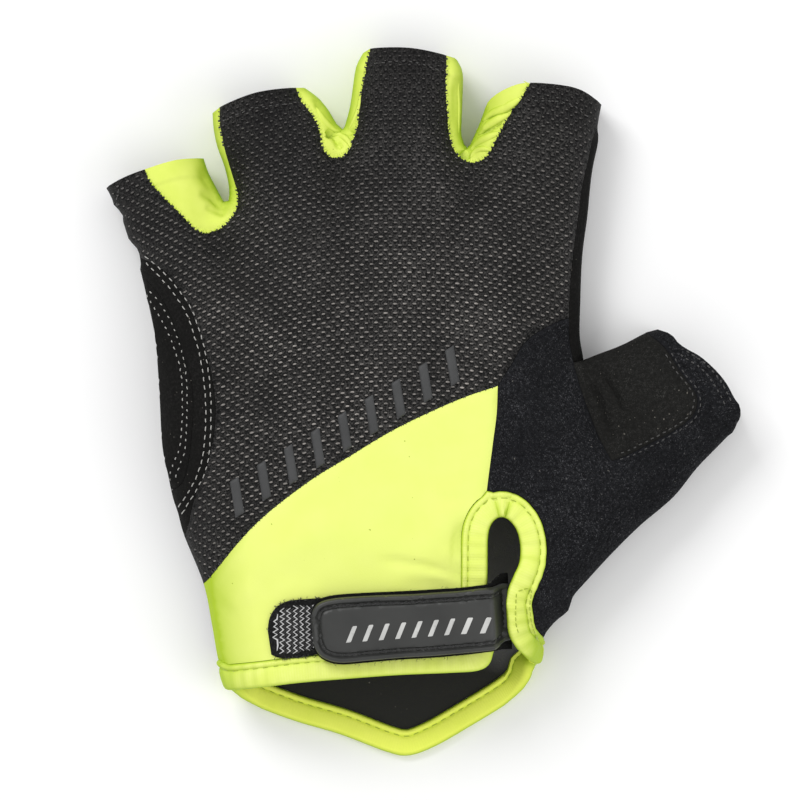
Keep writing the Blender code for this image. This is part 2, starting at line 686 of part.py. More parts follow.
def material(name):
    """A plain shader with the colour, roughness and metallic value of one material."""
    colour, roughness, metallic = MATERIALS[name]
    made = bpy.data.materials.new(name)
    made.use_nodes = True
    shader = made.node_tree.nodes["Principled BSDF"]
    shader.inputs["Base Color"].default_value = (*colour, 1.0)
    shader.inputs["Roughness"].default_value = roughness
    shader.inputs["Metallic"].default_value = metallic
    made.diffuse_color = (*colour, 1.0)
    return made


def add_object(name, solid, material_name, collection, place):
    """One named sub-part from its points and faces."""
    points, faces = solid
    mesh = bpy.data.meshes.new(name)
    mesh.from_pydata([tuple(p) for p in points], [], faces)
    work = bmesh.new()
    work.from_mesh(mesh)
    bmesh.ops.triangulate(work, faces=[f for f in work.faces if len(f.verts) > 4])
    bmesh.ops.recalc_face_normals(work, faces=work.faces)
    work.to_mesh(mesh)
    work.free()
    mesh.materials.append(material(material_name))
    mesh.shade_smooth()
    mesh.set_sharp_from_angle(angle=math.radians(50.0))
    made = bpy.data.objects.new(name, mesh)
    made.location = place
    collection.objects.link(made)
    return made


def gusset(form, seam, side_line, palm_line, start_tip, end_tip):
    """Gusset between two fingers: over the side from the back seam to the palm seam."""
    top = [line(seam)[::-1], start_tip[1:], line(side_line)[1:], end_tip[1:]]
    bottom = [line(side_line), palm_line[::-1]]
    return panel(form, [(top, TOP), (bottom, BOTTOM)], GUSSET_WALL)


def build():
    for old in list(bpy.data.objects):
        bpy.data.objects.remove(old, do_unlink=True)
    collection = bpy.data.collections.new(COLLECTION)
    bpy.context.scene.collection.children.link(collection)
    form = Form()

    # Free edges, and the lines where panels give way to tape
    cuff_edge = line(BACK_CUFF_EDGE, step=EDGE_STEP)
    slit_edge = line(SLIT_EDGE, step=SLIT_STEP)
    palm_edge = line(PALM_CUFF_EDGE, step=EDGE_STEP)[::-1]
    little_end, thumb_end = plan(LITTLE_SIDE[1]), plan(LOWER_SIDE[10])
    panel_lines, tape_lines = [], []
    for width, lines in ((BINDING_WIDTH, panel_lines), (BINDING_WIDTH - SEAM_GAP, tape_lines)):
        cuff, slit, palm = (side_offset(edge, width) for edge in (cuff_edge, slit_edge, palm_edge))
        share = width / BINDING_WIDTH
        cuff[0] = cuff_edge[0] + (little_end - cuff_edge[0]) * share
        palm[0] = palm_edge[0] + (little_end - palm_edge[0]) * share
        slit[-1] = slit_edge[-1] + (thumb_end - slit_edge[-1]) * share
        palm[-1] = palm_edge[-1] + (thumb_end - palm_edge[-1]) * share
        cuff = cuff[distance_to_line(cuff, slit_edge)[0] > width * OFFSET_KEPT]
        slit = slit[distance_to_line(slit, cuff_edge)[0] > width * OFFSET_KEPT]
        joint = 0.5 * (cuff[-1] + slit[0])
        cuff, slit = np.vstack([cuff, joint]), np.vstack([joint, slit])
        lines.extend((cuff, slit, palm))
    cuff_line, slit_line, palm_line = (resample(run, SEAM_STEP) for run in panel_lines)
    split = nearest_row(slit_line, plan(THUMB_SEAM[-1]))
    slit_line[split] = plan(THUMB_SEAM[-1])

    # Palm seams of the gussets, inside the side lines
    palm_tips = [
        trimmed(line(tip), start, end) for tip, start, end in (
            (LITTLE_TIP, 0.0, PALM_SEAM_INSET), (RING_TIP, PALM_SEAM_INSET, PALM_SEAM_INSET),
            (MIDDLE_TIP, PALM_SEAM_INSET, PALM_SEAM_INSET), (INDEX_TIP, PALM_SEAM_INSET, 0.0))]
    palm_seams = []
    for k, side_line in enumerate((LITTLE_RING_SIDE, RING_MIDDLE_SIDE, MIDDLE_INDEX_SIDE)):
        moved = side_offset(line(side_line, step=SIDE_STEP), -PALM_SEAM_INSET)
        moved = np.vstack([palm_tips[k][-1:], moved[3:-3], palm_tips[k + 1][:1]])
        palm_seams.append(resample(moved, SEAM_STEP))

    parts = {}
    parts["back_mesh_panel"] = (panel(form, [([
        line(LITTLE_SIDE, 3, 4), line(WRAP_SEAM), line(LITTLE_SIDE, 12, 15), line(LITTLE_TIP, 0, 2),
        line(LITTLE_RING_SEAM), line(RING_TIP, 1, 3), line(RING_MIDDLE_SEAM),
        line(MIDDLE_TIP, 1, 3), line(MIDDLE_INDEX_SEAM), line(INDEX_TIP, 3, 5),
        line(INDEX_SIDE, 0, 1), line(INDEX_STRIP_SEAM, 0, 6), line(KNIT_SEAM, 5, 0),
        line(BACK_SEAM, 6, 0)], TOP)], MESH_WALL), "black_mesh")

    parts["back_stretch_panel"] = (panel(form, [([
        line(LITTLE_SIDE, 1, 3), line(BACK_SEAM), line(THUMB_SEAM), slit_line[:split][::-1],
        cuff_line[::-1]], TOP)], STRETCH_WALL), "neon_stretch")

    parts["thumb_knit_panel"] = (panel(form, [([
        line(KNIT_SEAM), line(INDEX_STRIP_SEAM, 6, 8), line(THUMB_VALLEY),
        line(THUMB_PATCH_SEAM, 10, 0), line(THUMB_UPPER_SIDE, 3, 4), line(THUMB_TIP),
        line(LOWER_SIDE, 0, 10), slit_line[split:][::-1], line(THUMB_SEAM, 4, 0)], TOP)],
        KNIT_WALL), "black_knit")

    parts["thumb_patch"] = (panel(form, [([
        line(THUMB_UPPER_SIDE, 0, 3), line(THUMB_PATCH_SEAM), line(THUMB_VALLEY, 4, 0)], TOP)],
        SUEDE_WALL), "black_suede")

    palm_outline = [
        line(LITTLE_SIDE, 1, 6), line(PAD_SEAM), line(LITTLE_SIDE, 11, 15), palm_tips[0],
        palm_seams[0], palm_tips[1], palm_seams[1], palm_tips[2], palm_seams[2], palm_tips[3],
        line(INDEX_SIDE), line(THUMB_UPPER_SIDE),
        line(THUMB_TIP), line(LOWER_SIDE, 0, 10), palm_line[::-1]]
    wrap_outline = [
        line(LITTLE_SIDE, 4, 6), line(PAD_SEAM), line(LITTLE_SIDE, 11, 12), line(WRAP_SEAM, 8, 0)]
    strip_outline = [line(INDEX_SIDE, 1, 8), line(INDEX_STRIP_SEAM, 8, 0)]
    parts["palm_panel"] = (panel(form, [
        (palm_outline, BOTTOM), (wrap_outline, TOP), (strip_outline, TOP)], SUEDE_WALL),
        "black_suede")

    pad_outline = [line(LITTLE_SIDE, 6, 11), line(PAD_SEAM)[::-1]]
    parts["edge_pad"] = (panel(form, [(pad_outline, TOP), (pad_outline, BOTTOM)], PAD_WALL),
                         "black_suede")

    parts["gusset_little_ring"] = (gusset(
        form, LITTLE_RING_SEAM, LITTLE_RING_SIDE, palm_seams[0],
        line(LITTLE_TIP, 2, 4), line(RING_TIP, 0, 1)), "neon_stretch")
    parts["gusset_ring_middle"] = (gusset(
        form, RING_MIDDLE_SEAM, RING_MIDDLE_SIDE, palm_seams[1],
        line(RING_TIP, 3, 4), line(MIDDLE_TIP, 0, 1)), "neon_stretch")
    parts["gusset_middle_index"] = (gusset(
        form, MIDDLE_INDEX_SEAM, MIDDLE_INDEX_SIDE, palm_seams[2],
        line(MIDDLE_TIP, 3, 4), line(INDEX_TIP, 0, 3)), "neon_stretch")

    cuff_inner, slit_inner, palm_inner = tape_lines
    parts["cuff_binding_back"] = (tape(
        form, cuff_edge, cuff_inner, TOP, butts=True), "neon_tape")
    parts["slit_binding"] = (tape(form, slit_edge, slit_inner, TOP), "neon_tape")
    parts["cuff_binding_palm"] = (tape(form, palm_edge, palm_inner, BOTTOM), "neon_tape")

    patch_low = LAYER_GAP
    patch_high = patch_low + LOOP_PATCH_THICKNESS
    seat = patch_high + LAYER_GAP
    patch_rows = finer(LOOP_PATCH_ROWS, STRIP_STEP)
    patch_layers = [(patch_low, patch_high)] * len(patch_rows)
    parts["loop_patch"] = (loft(strip_rings(
        form, patch_rows, LOOP_PATCH_WIDTH, patch_layers)), "loop_knit")

    stack = BACKING_THICKNESS + LAYER_GAP + STRAP_END_THICKNESS
    half_tape = 0.5 * max(MESH_WALL, SUEDE_WALL) + BINDING_COVER
    sunk = SLIT_BRIDGE_RISE - half_tape - 0.5 * MESH_WALL - 2 * LAYER_GAP - stack
    backing_layers, strap_layers = [], []
    strap_rows = finer(STRAP_ROWS, STRIP_STEP)
    for row in strap_rows:
        low = seat + (sunk - seat) * row[4]
        backing_layers.append((low, low + BACKING_THICKNESS))
        under = low + BACKING_THICKNESS + LAYER_GAP
        thickness = STRAP_END_THICKNESS + (STRAP_THICKNESS - STRAP_END_THICKNESS) * row[3]
        strap_layers.append((under, under + thickness))
    parts["strap_backing"] = (loft(strip_rings(
        form, strap_rows, STRAP_WIDTH, backing_layers, BACKING_MARGIN)), "black_backing")
    parts["closure_strap"] = (loft(strip_rings(
        form, strap_rows, STRAP_WIDTH, strap_layers)), "grey_rubber")

    # Seat the glove's box on the origin
    everything = np.vstack([solid[0] for solid, _ in parts.values()])
    low, high = everything.min(axis=0), everything.max(axis=0)
    place = (-0.5 * (low[0] + high[0]), -0.5 * (low[1] + high[1]), -low[2])
    for name, (solid, material_name) in parts.items():
        add_object(name, solid, material_name, collection, place)


build()
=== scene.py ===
"""Looks of the half-finger cycling glove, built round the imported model.

The glove's soft form, its seam tables and its panels are the ones of the part's
source, cut much finer here, with creases, seam grooves, stitches, yarn and thread
added. +X is the thumb side, +Y the fingers, +Z up, metres. Tables in pixels are
places in the photograph, 800 pixels wide, seen from straight above.
"""
import math
import random

import bpy
import numpy as np
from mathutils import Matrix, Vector
from mathutils.geometry import delaunay_2d_cdt


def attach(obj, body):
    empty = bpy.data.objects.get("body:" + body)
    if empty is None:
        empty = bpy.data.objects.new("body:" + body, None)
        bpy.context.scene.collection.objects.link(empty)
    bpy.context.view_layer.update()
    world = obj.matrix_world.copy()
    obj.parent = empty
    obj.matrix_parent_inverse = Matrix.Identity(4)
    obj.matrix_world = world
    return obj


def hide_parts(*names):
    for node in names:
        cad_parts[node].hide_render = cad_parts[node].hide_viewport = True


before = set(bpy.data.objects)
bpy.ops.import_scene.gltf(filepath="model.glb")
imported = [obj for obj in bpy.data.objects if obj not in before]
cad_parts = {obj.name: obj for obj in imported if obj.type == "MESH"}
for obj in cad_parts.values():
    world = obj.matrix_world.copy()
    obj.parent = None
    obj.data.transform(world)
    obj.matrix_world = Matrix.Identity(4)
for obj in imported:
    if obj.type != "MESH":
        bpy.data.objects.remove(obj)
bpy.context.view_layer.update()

# The form, as in the part's source
GLOVE_WIDTH = 0.150
GLOVE_LENGTH = 0.167
SIDE_SEAM_HEIGHT = 0.009
HAND_RISE = 0.0165
CUFF_RISE = 0.0140
FINGER_RISE = 0.0105
HAND_ROUNDING = 0.020
FINGER_ROUNDING = 0.011
PALM_ROUNDING = 0.008
KNUCKLE_BLEND = 0.030
THUMB_BLEND = 0.033
MESH_WALL = 0.0012
STRETCH_WALL = 0.0012
KNIT_WALL = 0.0014
SUEDE_WALL = 0.0014
PAD_WALL = 0.0026
GUSSET_WALL = 0.0011
PALM_SEAM_INSET = 0.0032
BINDING_WIDTH = 0.0062
BINDING_COVER = 0.0006
LAYER_GAP = 0.0003
LOOP_PATCH_THICKNESS = 0.0009
LOOP_PATCH_WIDTH = 0.0134
BACKING_THICKNESS = 0.0008
BACKING_MARGIN = 0.0006
STRAP_THICKNESS = 0.0020
STRAP_WIDTH = 0.0155
STRAP_END_THICKNESS = 0.0008
SLIT_BRIDGE_RISE = 0.0032
SLIT_BRIDGE_SLOPE = 0.0065

# Where the part's source seats the form, and the photograph's scale
SEAT = (-0.0000584, 0.0005067, 0.0)
PIXELS_WIDE = 637.0
PIXELS_LONG = 712.0
PIXEL_CENTRE = (423.5, 401.0)

# Fineness
LINE_STEP = 0.0014
EDGE_STEP = 0.0008
GUIDE_STEP = 0.002
GRID_STEP = 0.0014
FINE_GRID_STEP = 0.0011
GUSSET_STEP = 0.00058
PALM_GRID_STEP = 0.0045
ROUNDING_ANGLES = (9.0, 18.0, 28.0, 39.0, 52.0)
OFFSET_KEPT = 0.985
CLEAR_OF_OUTLINE = 0.42
CLEAR_OF_POINTS = 0.55
OPENING_REACH = 0.30
SAME_POINT = 0.0001
SLOPE_STEP = 0.0004
CORNER_BLEND = 0.0010

# Seams
SEAM_GAP = 0.0001
GROOVE_DEPTH = 0.00045
GROOVE_WIDTH = 0.0009

# Seam tables, as in the part's source. Rows: across, along, as shares of width and length.
LITTLE_SIDE = [
    (-0.308, -0.409), (-0.323, -0.365), (-0.333, -0.315), (-0.346, -0.258), (-0.376, -0.191),
    (-0.386, -0.159), (-0.397, -0.126), (-0.411, -0.053), (-0.415, 0.022), (-0.420, 0.079),
    (-0.432, 0.135), (-0.443, 0.177), (-0.446, 0.202), (-0.466, 0.237), (-0.480, 0.270),
    (-0.499, 0.301)]
WRAP_SEAM = [
    (-0.376, -0.191), (-0.362, -0.139), (-0.341, -0.093), (-0.329, -0.048), (-0.327, 0.001),
    (-0.343, 0.072), (-0.374, 0.142), (-0.406, 0.181), (-0.446, 0.202)]
PAD_SEAM = [
    (-0.397, -0.126), (-0.381, -0.116), (-0.368, -0.079), (-0.363, -0.024), (-0.365, 0.024),
    (-0.375, 0.058), (-0.387, 0.093), (-0.405, 0.130), (-0.421, 0.154), (-0.443, 0.177)]
LITTLE_TIP = [(-0.499, 0.301), (-0.469, 0.315), (-0.437, 0.326), (-0.390, 0.339), (-0.346, 0.343)]
RING_TIP = [(-0.332, 0.407), (-0.321, 0.414), (-0.263, 0.434), (-0.199, 0.442), (-0.184, 0.441)]
MIDDLE_TIP = [(-0.095, 0.492), (-0.084, 0.497), (-0.021, 0.497), (0.037, 0.487), (0.053, 0.482)]
INDEX_TIP = [
    (0.095, 0.409), (0.108, 0.427), (0.133, 0.441), (0.167, 0.448), (0.236, 0.441),
    (0.280, 0.419)]
LITTLE_RING_SIDE = [
    (-0.346, 0.343), (-0.338, 0.322), (-0.324, 0.298), (-0.314, 0.282), (-0.307, 0.283),
    (-0.306, 0.302), (-0.313, 0.331), (-0.324, 0.358), (-0.330, 0.383), (-0.332, 0.407)]
LITTLE_RING_SEAM = [
    (-0.437, 0.326), (-0.426, 0.306), (-0.404, 0.284), (-0.376, 0.260), (-0.356, 0.242),
    (-0.338, 0.237), (-0.318, 0.245), (-0.300, 0.263), (-0.294, 0.286), (-0.302, 0.317),
    (-0.315, 0.357), (-0.321, 0.388), (-0.321, 0.414)]
RING_MIDDLE_SIDE = [
    (-0.184, 0.441), (-0.164, 0.427), (-0.148, 0.409), (-0.137, 0.392), (-0.127, 0.384),
    (-0.121, 0.397), (-0.115, 0.419), (-0.111, 0.444), (-0.106, 0.472), (-0.095, 0.492)]
RING_MIDDLE_SEAM = [
    (-0.199, 0.442), (-0.190, 0.423), (-0.172, 0.404), (-0.161, 0.381), (-0.157, 0.358),
    (-0.143, 0.343), (-0.125, 0.347), (-0.114, 0.366), (-0.105, 0.392), (-0.102, 0.420),
    (-0.096, 0.455), (-0.084, 0.497)]
MIDDLE_INDEX_SIDE = [
    (0.053, 0.482), (0.062, 0.462), (0.061, 0.416), (0.060, 0.375), (0.069, 0.358),
    (0.079, 0.373), (0.090, 0.396), (0.095, 0.409)]
MIDDLE_INDEX_SEAM = [
    (0.037, 0.487), (0.037, 0.451), (0.040, 0.409), (0.045, 0.369), (0.058, 0.346),
    (0.078, 0.337), (0.098, 0.346), (0.114, 0.372), (0.133, 0.403), (0.153, 0.427),
    (0.167, 0.448)]
INDEX_SIDE = [
    (0.280, 0.419), (0.274, 0.388), (0.275, 0.367), (0.265, 0.322), (0.258, 0.261),
    (0.250, 0.205), (0.247, 0.142), (0.246, 0.093), (0.252, 0.058)]
INDEX_STRIP_SEAM = [
    (0.274, 0.388), (0.264, 0.352), (0.251, 0.303), (0.245, 0.254), (0.236, 0.195),
    (0.231, 0.142), (0.230, 0.117), (0.231, 0.086), (0.237, 0.055)]
THUMB_VALLEY = [(0.237, 0.055), (0.246, 0.022), (0.261, -0.015), (0.277, -0.051), (0.296, -0.083)]
THUMB_UPPER_SIDE = [
    (0.252, 0.058), (0.277, 0.067), (0.312, 0.079), (0.351, 0.097), (0.368, 0.103)]
THUMB_PATCH_SEAM = [
    (0.351, 0.097), (0.380, 0.073), (0.401, 0.042), (0.415, 0.026), (0.428, 0.006),
    (0.426, -0.015), (0.411, -0.031), (0.384, -0.046), (0.354, -0.060), (0.326, -0.073),
    (0.296, -0.083)]
THUMB_TIP = [(0.368, 0.103), (0.406, 0.077), (0.439, 0.059), (0.475, 0.024), (0.500, -0.027)]
LOWER_SIDE = [
    (0.500, -0.027), (0.472, -0.056), (0.431, -0.094), (0.393, -0.136), (0.341, -0.176),
    (0.297, -0.215), (0.258, -0.253), (0.235, -0.277), (0.228, -0.296), (0.206, -0.313),
    (0.188, -0.336), (0.181, -0.372)]
BACK_SEAM = [
    (-0.346, -0.258), (-0.268, -0.177), (-0.186, -0.117), (-0.115, -0.077), (-0.042, -0.038),
    (0.051, 0.001), (0.117, 0.022)]
KNIT_SEAM = [
    (0.117, 0.022), (0.139, 0.053), (0.156, 0.079), (0.180, 0.097), (0.208, 0.110),
    (0.230, 0.117)]
THUMB_SEAM = [(0.117, 0.022), (0.115, -0.018), (0.109, -0.058), (0.103, -0.097), (0.099, -0.126)]
BACK_CUFF_EDGE = [
    (-0.308, -0.409), (-0.254, -0.403), (-0.194, -0.396), (-0.115, -0.390), (-0.037, -0.385),
    (0.042, -0.382), (0.086, -0.379), (0.104, -0.369), (0.111, -0.350)]
SLIT_EDGE = [
    (0.111, -0.350), (0.103, -0.322), (0.100, -0.279), (0.100, -0.230), (0.101, -0.188),
    (0.108, -0.170), (0.120, -0.163), (0.133, -0.167), (0.145, -0.181), (0.151, -0.202),
    (0.150, -0.223), (0.142, -0.243), (0.133, -0.263), (0.128, -0.282), (0.131, -0.305),
    (0.136, -0.330), (0.150, -0.350), (0.167, -0.365), (0.181, -0.372)]
PALM_CUFF_EDGE = [
    (0.181, -0.372), (0.167, -0.402), (0.136, -0.427), (0.073, -0.462), (0.018, -0.490),
    (-0.024, -0.503), (-0.060, -0.497), (-0.131, -0.473), (-0.199, -0.455), (-0.254, -0.437),
    (-0.288, -0.423), (-0.308, -0.409)]

# Where the fingers join the hand. Rows: across, along.
KNUCKLE_LINE = [(-0.52, 0.19), (-0.34, 0.237), (-0.144, 0.344), (0.078, 0.338), (0.30, 0.30)]

# Middle of the thumb's root and the way the thumb points. Row: across, along.
THUMB_ROOT = (0.275, -0.040)
THUMB_DIRECTION_DEGREES = 43.0

# Folds and dents in the back. Rows: across, along, direction in degrees, length and
# width as shares of the glove's length, height as a share of the hand's rise.
FOLDS = [
    (0.262, -0.010, -62.0, 0.115, 0.040, -0.30),
    (-0.326, 0.222, -60.0, 0.055, 0.024, -0.16),
    (-0.138, 0.318, -88.0, 0.060, 0.026, -0.20),
    (0.072, 0.310, -92.0, 0.060, 0.026, -0.16),
    (0.190, -0.110, -70.0, 0.090, 0.026, -0.09),
    (0.215, 0.165, -75.0, 0.080, 0.030, -0.07),
    (-0.200, -0.200, 28.0, 0.090, 0.030, 0.05),
    (0.020, -0.190, 62.0, 0.070, 0.026, 0.05),
    (0.270, -0.200, 44.0, 0.070, 0.018, 0.06),
    (-0.020, 0.180, 85.0, 0.160, 0.050, 0.03),
]

SLIT_BRIDGE = (0.152, -0.296)
STRAP_ROWS = [
    (-0.1740, -0.319, 0.20, 1.0, 0.0),
    (-0.1690, -0.320, 0.33, 1.0, 0.0),
    (-0.1580, -0.320, 0.43, 1.0, 0.0),
    (-0.1340, -0.320, 0.49, 1.0, 0.0),
    (-0.0900, -0.317, 0.49, 1.0, 0.0),
    (-0.0400, -0.314, 0.48, 1.0, 0.0),
    (0.0150, -0.311, 0.48, 1.0, 0.0),
    (0.0600, -0.308, 0.47, 1.0, 0.0),
    (0.1030, -0.303, 0.47, 1.0, 0.0),
    (0.1100, -0.301, 0.49, 0.5, 0.28),
    (0.1180, -0.298, 0.52, 0.0, 0.72),
    (0.1260, -0.296, 0.54, 0.0, 1.0),
    (0.1370, -0.296, 0.54, 0.0, 1.0),
]
LOOP_PATCH_ROWS = [
    (-0.2400, -0.338, 0.22), (-0.2350, -0.331, 0.35), (-0.2240, -0.325, 0.45),
    (-0.2050, -0.320, 0.50), (-0.1700, -0.316, 0.49), (-0.1200, -0.311, 0.46),
    (-0.0500, -0.306, 0.44), (0.0350, -0.302, 0.42),
]

MM = 0.001

# Faint waves of the lying cloth
WAVE_SEED = 7
WAVE_COUNT = 14
WAVE_SIZES = (0.011, 0.034)
WAVE_HEIGHT = 0.00013

# Creases, ridges and pockets. Rows: path in pixels, how wide it is to the left and to
# the right of the path and how high, in millimetres. A narrow side makes an overlap.
CREASE_TAPER = 0.30
CREASES = [
    # little finger's gusset: folds that fan out from the crotch
    ([(229, 207), (214, 184), (198, 163)], 1.6, 0.7, -0.9),
    ([(229, 208), (218, 190), (207, 168)], 0.9, 0.9, 0.7),
    ([(229, 210), (214, 197), (198, 190)], 1.3, 0.7, -0.8),
    ([(228, 214), (216, 209), (204, 206)], 1.0, 0.7, -0.6),
    # ring and middle finger: the twisted gusset and its pocket
    ([(326, 132), (332, 133), (338, 134)], 0.70, 0.70, -3.2),
    ([(335, 136), (338, 142), (340, 150)], 0.6, 0.6, -1.3),
    ([(346, 133), (350, 131), (354, 129)], 0.5, 0.5, -1.0),
    ([(312, 97), (318, 103), (322, 109)], 0.9, 0.5, -0.5),
    # middle and index finger: diagonal twists
    ([(514, 105), (500, 112), (486, 122)], 0.5, 0.5, -0.7),
    ([(505, 121), (493, 127), (480, 137)], 0.5, 0.5, -0.7),
    ([(462, 149), (466, 153), (471, 154)], 0.60, 0.60, -2.2),
    # middle finger's edge
    ([(455, 76), (456, 104), (456, 130)], 1.0, 0.8, -0.5),
    # stretch panel beside the slit and the strap
    ([(464, 598), (456, 570), (458, 535), (470, 512)], 1.2, 2.2, -0.9),
    ([(372, 558), (400, 561), (432, 567), (468, 583)], 0.7, 1.4, -0.60),
    ([(420, 573), (448, 577), (474, 587)], 0.8, 0.9, 0.42),
    ([(396, 585), (430, 585), (462, 592)], 1.5, 1.5, -0.35),
    ([(436, 552), (452, 556), (468, 568)], 1.5, 1.8, 0.30),
    ([(474, 500), (455, 499), (430, 502)], 1.6, 1.6, -0.3),
    ([(225, 610), (240, 596), (262, 588)], 3.0, 3.0, 0.35),
    ([(330, 596), (300, 588), (270, 590)], 3.2, 2.4, 0.3),
    # thumb side
    ([(585, 366), (600, 376), (612, 394), (622, 418)], 0.8, 2.4, -1.3),
    ([(585, 374), (594, 396), (604, 424), (616, 450)], 0.9, 1.8, -1.1),
    ([(586, 364), (595, 380), (606, 402), (614, 428)], 0.9, 0.9, 0.8),
    ([(600, 372), (625, 352), (646, 342)], 3.0, 3.0, -0.6),
    ([(640, 480), (655, 462), (668, 448)], 2.0, 2.0, 0.35),
    ([(560, 545), (580, 520), (604, 500)], 3.0, 2.4, 0.35),
]

# Small shifts of the outline in plan. Rows: place, reach and shift, in pixels.
WARPS = [
    ((112, 204), 5.0, (-2.6, 0.6)), ((121, 213), 5.0, (2.4, 0.0)), ((127, 238), 5.0, (-1.6, 0.4)),
    ((135, 250), 4.5, (2.0, 0.0)), ((141, 268), 5.0, (-1.2, 0.0)), ((150, 296), 5.0, (-1.0, 0.0)),
    ((656, 328), 4.0, (0.6, 1.4)), ((669, 338), 6.5, (1.0, -3.2)), ((737, 407), 7.0, (2.6, -0.6)),
    ((740, 421), 4.0, (-2.2, -0.8)), ((732, 431), 5.0, (1.2, 1.0)),
]

# Hems of the openings, the pad's swell, and how far in from the sides relief is whole
RELIEF_EDGE = 0.0012
HEM_WIDTH = 0.0046
HEM_RISE = 0.00028
HEM_EDGE = 0.0004
PAD_SWELL = 0.0011
PAD_EDGE = 0.0045

# Where the strap lies, so that no wave lifts the cloth into it: middle and reach, in
# pixels and in millimetres
STRAP_MIDDLE = (400, 628)
STRAP_CLEAR = (36.0, 13.0)

# Mesh fabric: yarn bars in staggered rows that arch over the hand
BAR_PITCH = 0.00224
ROW_PITCH = 0.00106
ARCH = 3.65
ARCH_CENTRE = -0.0041
BAR_SIZE = (0.00056, 0.00021, 0.00019)
BAR_CLEAR = 0.0009

# Stitch rows. Rows: path in pixels, length and pitch of a stitch and its thickness, in
# millimetres
PAD_STITCHES = [
    ([(142, 254), (158, 267), (175, 285), (191, 308), (201, 335), (207.5, 362), (211.6, 403),
      (210.6, 444), (205.5, 470), (195, 492), (181, 515)], 1.15, 1.95, 0.27),
    ([(143, 260), (156, 272), (171, 289), (186, 312), (196, 338), (202.5, 364), (206.5, 403),
      (205.6, 442), (200.3, 468), (190, 490), (178, 508)], 1.15, 1.95, 0.27),
    ([(149, 289), (160, 304), (171, 324), (180, 346), (185.5, 370), (187.5, 395), (187.5, 425),
      (186, 450), (181, 466), (174, 484)], 0.60, 1.75, 0.26),
    ([(147, 292), (156, 308), (167, 328), (176, 349), (182, 372), (183.8, 395), (183.8, 425),
      (182, 448), (177, 462), (171, 481)], 0.60, 1.75, 0.26),
]
THUMB_STITCHES = [
    ([(664, 353), (676, 372), (685, 383), (691, 392), (693.5, 401), (691, 410), (685, 419),
      (666, 431), (647, 441), (629, 450), (616, 454)], 0.8, 1.55, 0.26),
    ([(670, 351), (682, 371), (691, 382), (697.5, 391), (700, 402), (697.5, 413), (690, 423),
      (670, 436), (651, 446), (633, 455), (619, 459)], 0.8, 1.55, 0.26),
]
HEM_STITCHES = [
    ([(678, 354), (701, 369), (715, 387), (724, 405)], 0.8, 1.5, 0.30),
    ([(684, 350), (706, 365), (721, 383), (730, 401)], 0.8, 1.5, 0.30),
    ([(121, 186), (119, 196), (118, 207)], 0.8, 1.6, 0.24),
    ([(222, 121), (255, 108), (293, 103)], 0.8, 1.6, 0.22),
    ([(373, 63), (410, 61), (444, 72)], 0.8, 1.6, 0.22),
    ([(532, 100), (567, 103), (592, 119)], 0.8, 1.6, 0.22),
]

# Plain rubber bars on the mesh and on the strap: middle of the first and of the last in
# pixels, how many, their length and width in millimetres and their lean in degrees
MESH_BARS = ((238, 497), (452, 366), 9, 8.6, 2.2, 68.0)
STRAP_BARS = ((352, 632), (482, 622), 9, 4.2, 1.0, 64.0)

# The two sides of the glove, and how many points are measured at once
TOP = 1
BOTTOM = -1
CHUNK = 1500


def plan(row):
    """Plan point of a table row of shares."""
    return np.array([row[0] * GLOVE_WIDTH, row[1] * GLOVE_LENGTH])


def at(pixel):
    """Plan point of a pixel of the photograph."""
    return np.array([(pixel[0] - PIXEL_CENTRE[0]) / PIXELS_WIDE * GLOVE_WIDTH,
                     (PIXEL_CENTRE[1] - pixel[1]) / PIXELS_LONG * GLOVE_LENGTH])


def spline_parts(rows, step):
    """A smooth line through plan points, as one run of points between each two."""
    rows = np.array(rows)
    padded = np.vstack([2 * rows[0] - rows[1], rows, 2 * rows[-1] - rows[-2]])
    parts = []
    for i in range(1, len(padded) - 2):
        before, start, end, after = padded[i - 1:i + 3]
        count = max(1, int(round(np.linalg.norm(end - start) / step)))
        t = np.linspace(0.0, 1.0, count + 1)[:, None]
        parts.append(0.5 * (2 * start + (end - before) * t
                            + (2 * before - 5 * start + 4 * end - after) * t ** 2
                            + (3 * start - before - 3 * end + after) * t ** 3))
    return parts


def line(rows, first=0, last=None, step=LINE_STEP, to_plan=plan):
    """Points along a table from one row to another, backwards when first > last."""
    parts = spline_parts([to_plan(row) for row in rows], step)
    last = len(parts) if last is None else last
    if first > last:
        return line(rows, last, first, step, to_plan)[::-1]
    run = [parts[i][:-1] for i in range(first, last)]
    return np.vstack(run + [parts[last - 1][-1:]])


def pixel_line(pixels, step=EDGE_STEP):
    """Points along a smooth line through pixels of the photograph."""
    return line(pixels, step=step, to_plan=at)


def unit(ways):
    """Rows scaled to length one."""
    return ways / np.linalg.norm(ways, axis=1)[:, None]


def looped(outline):
    """An outline with its first point again at its end."""
    return np.vstack([outline, outline[:1]])


def turned(angle):
    """Unit vector at an angle in radians."""
    return np.array([math.cos(angle), math.sin(angle)])


def points_at(points, along, wanted):
    """Points at some distances along a line whose own points lie at the distances along."""
    return np.column_stack([np.interp(wanted, along, column) for column in points.T])


def lengths_along(points):
    """Distance of each point of a line from its start."""
    steps = np.linalg.norm(np.diff(points, axis=0), axis=1)
    return np.concatenate([[0.0], np.cumsum(steps)])


def resample(points, step):
    """The same line with evenly spaced points, its ends kept."""
    along = lengths_along(points)
    count = max(2, int(round(along[-1] / step)) + 1)
    return points_at(points, along, np.linspace(0.0, along[-1], count))


def trimmed(points, from_start, from_end):
    """The same line cut short by a distance at each end."""
    along = lengths_along(points)
    ends = (from_start, along[-1] - from_end)
    cuts = points_at(points, along, ends)
    between = points[(along > ends[0] + SAME_POINT) & (along < ends[1] - SAME_POINT)]
    return np.vstack([cuts[:1], between, cuts[1:]])


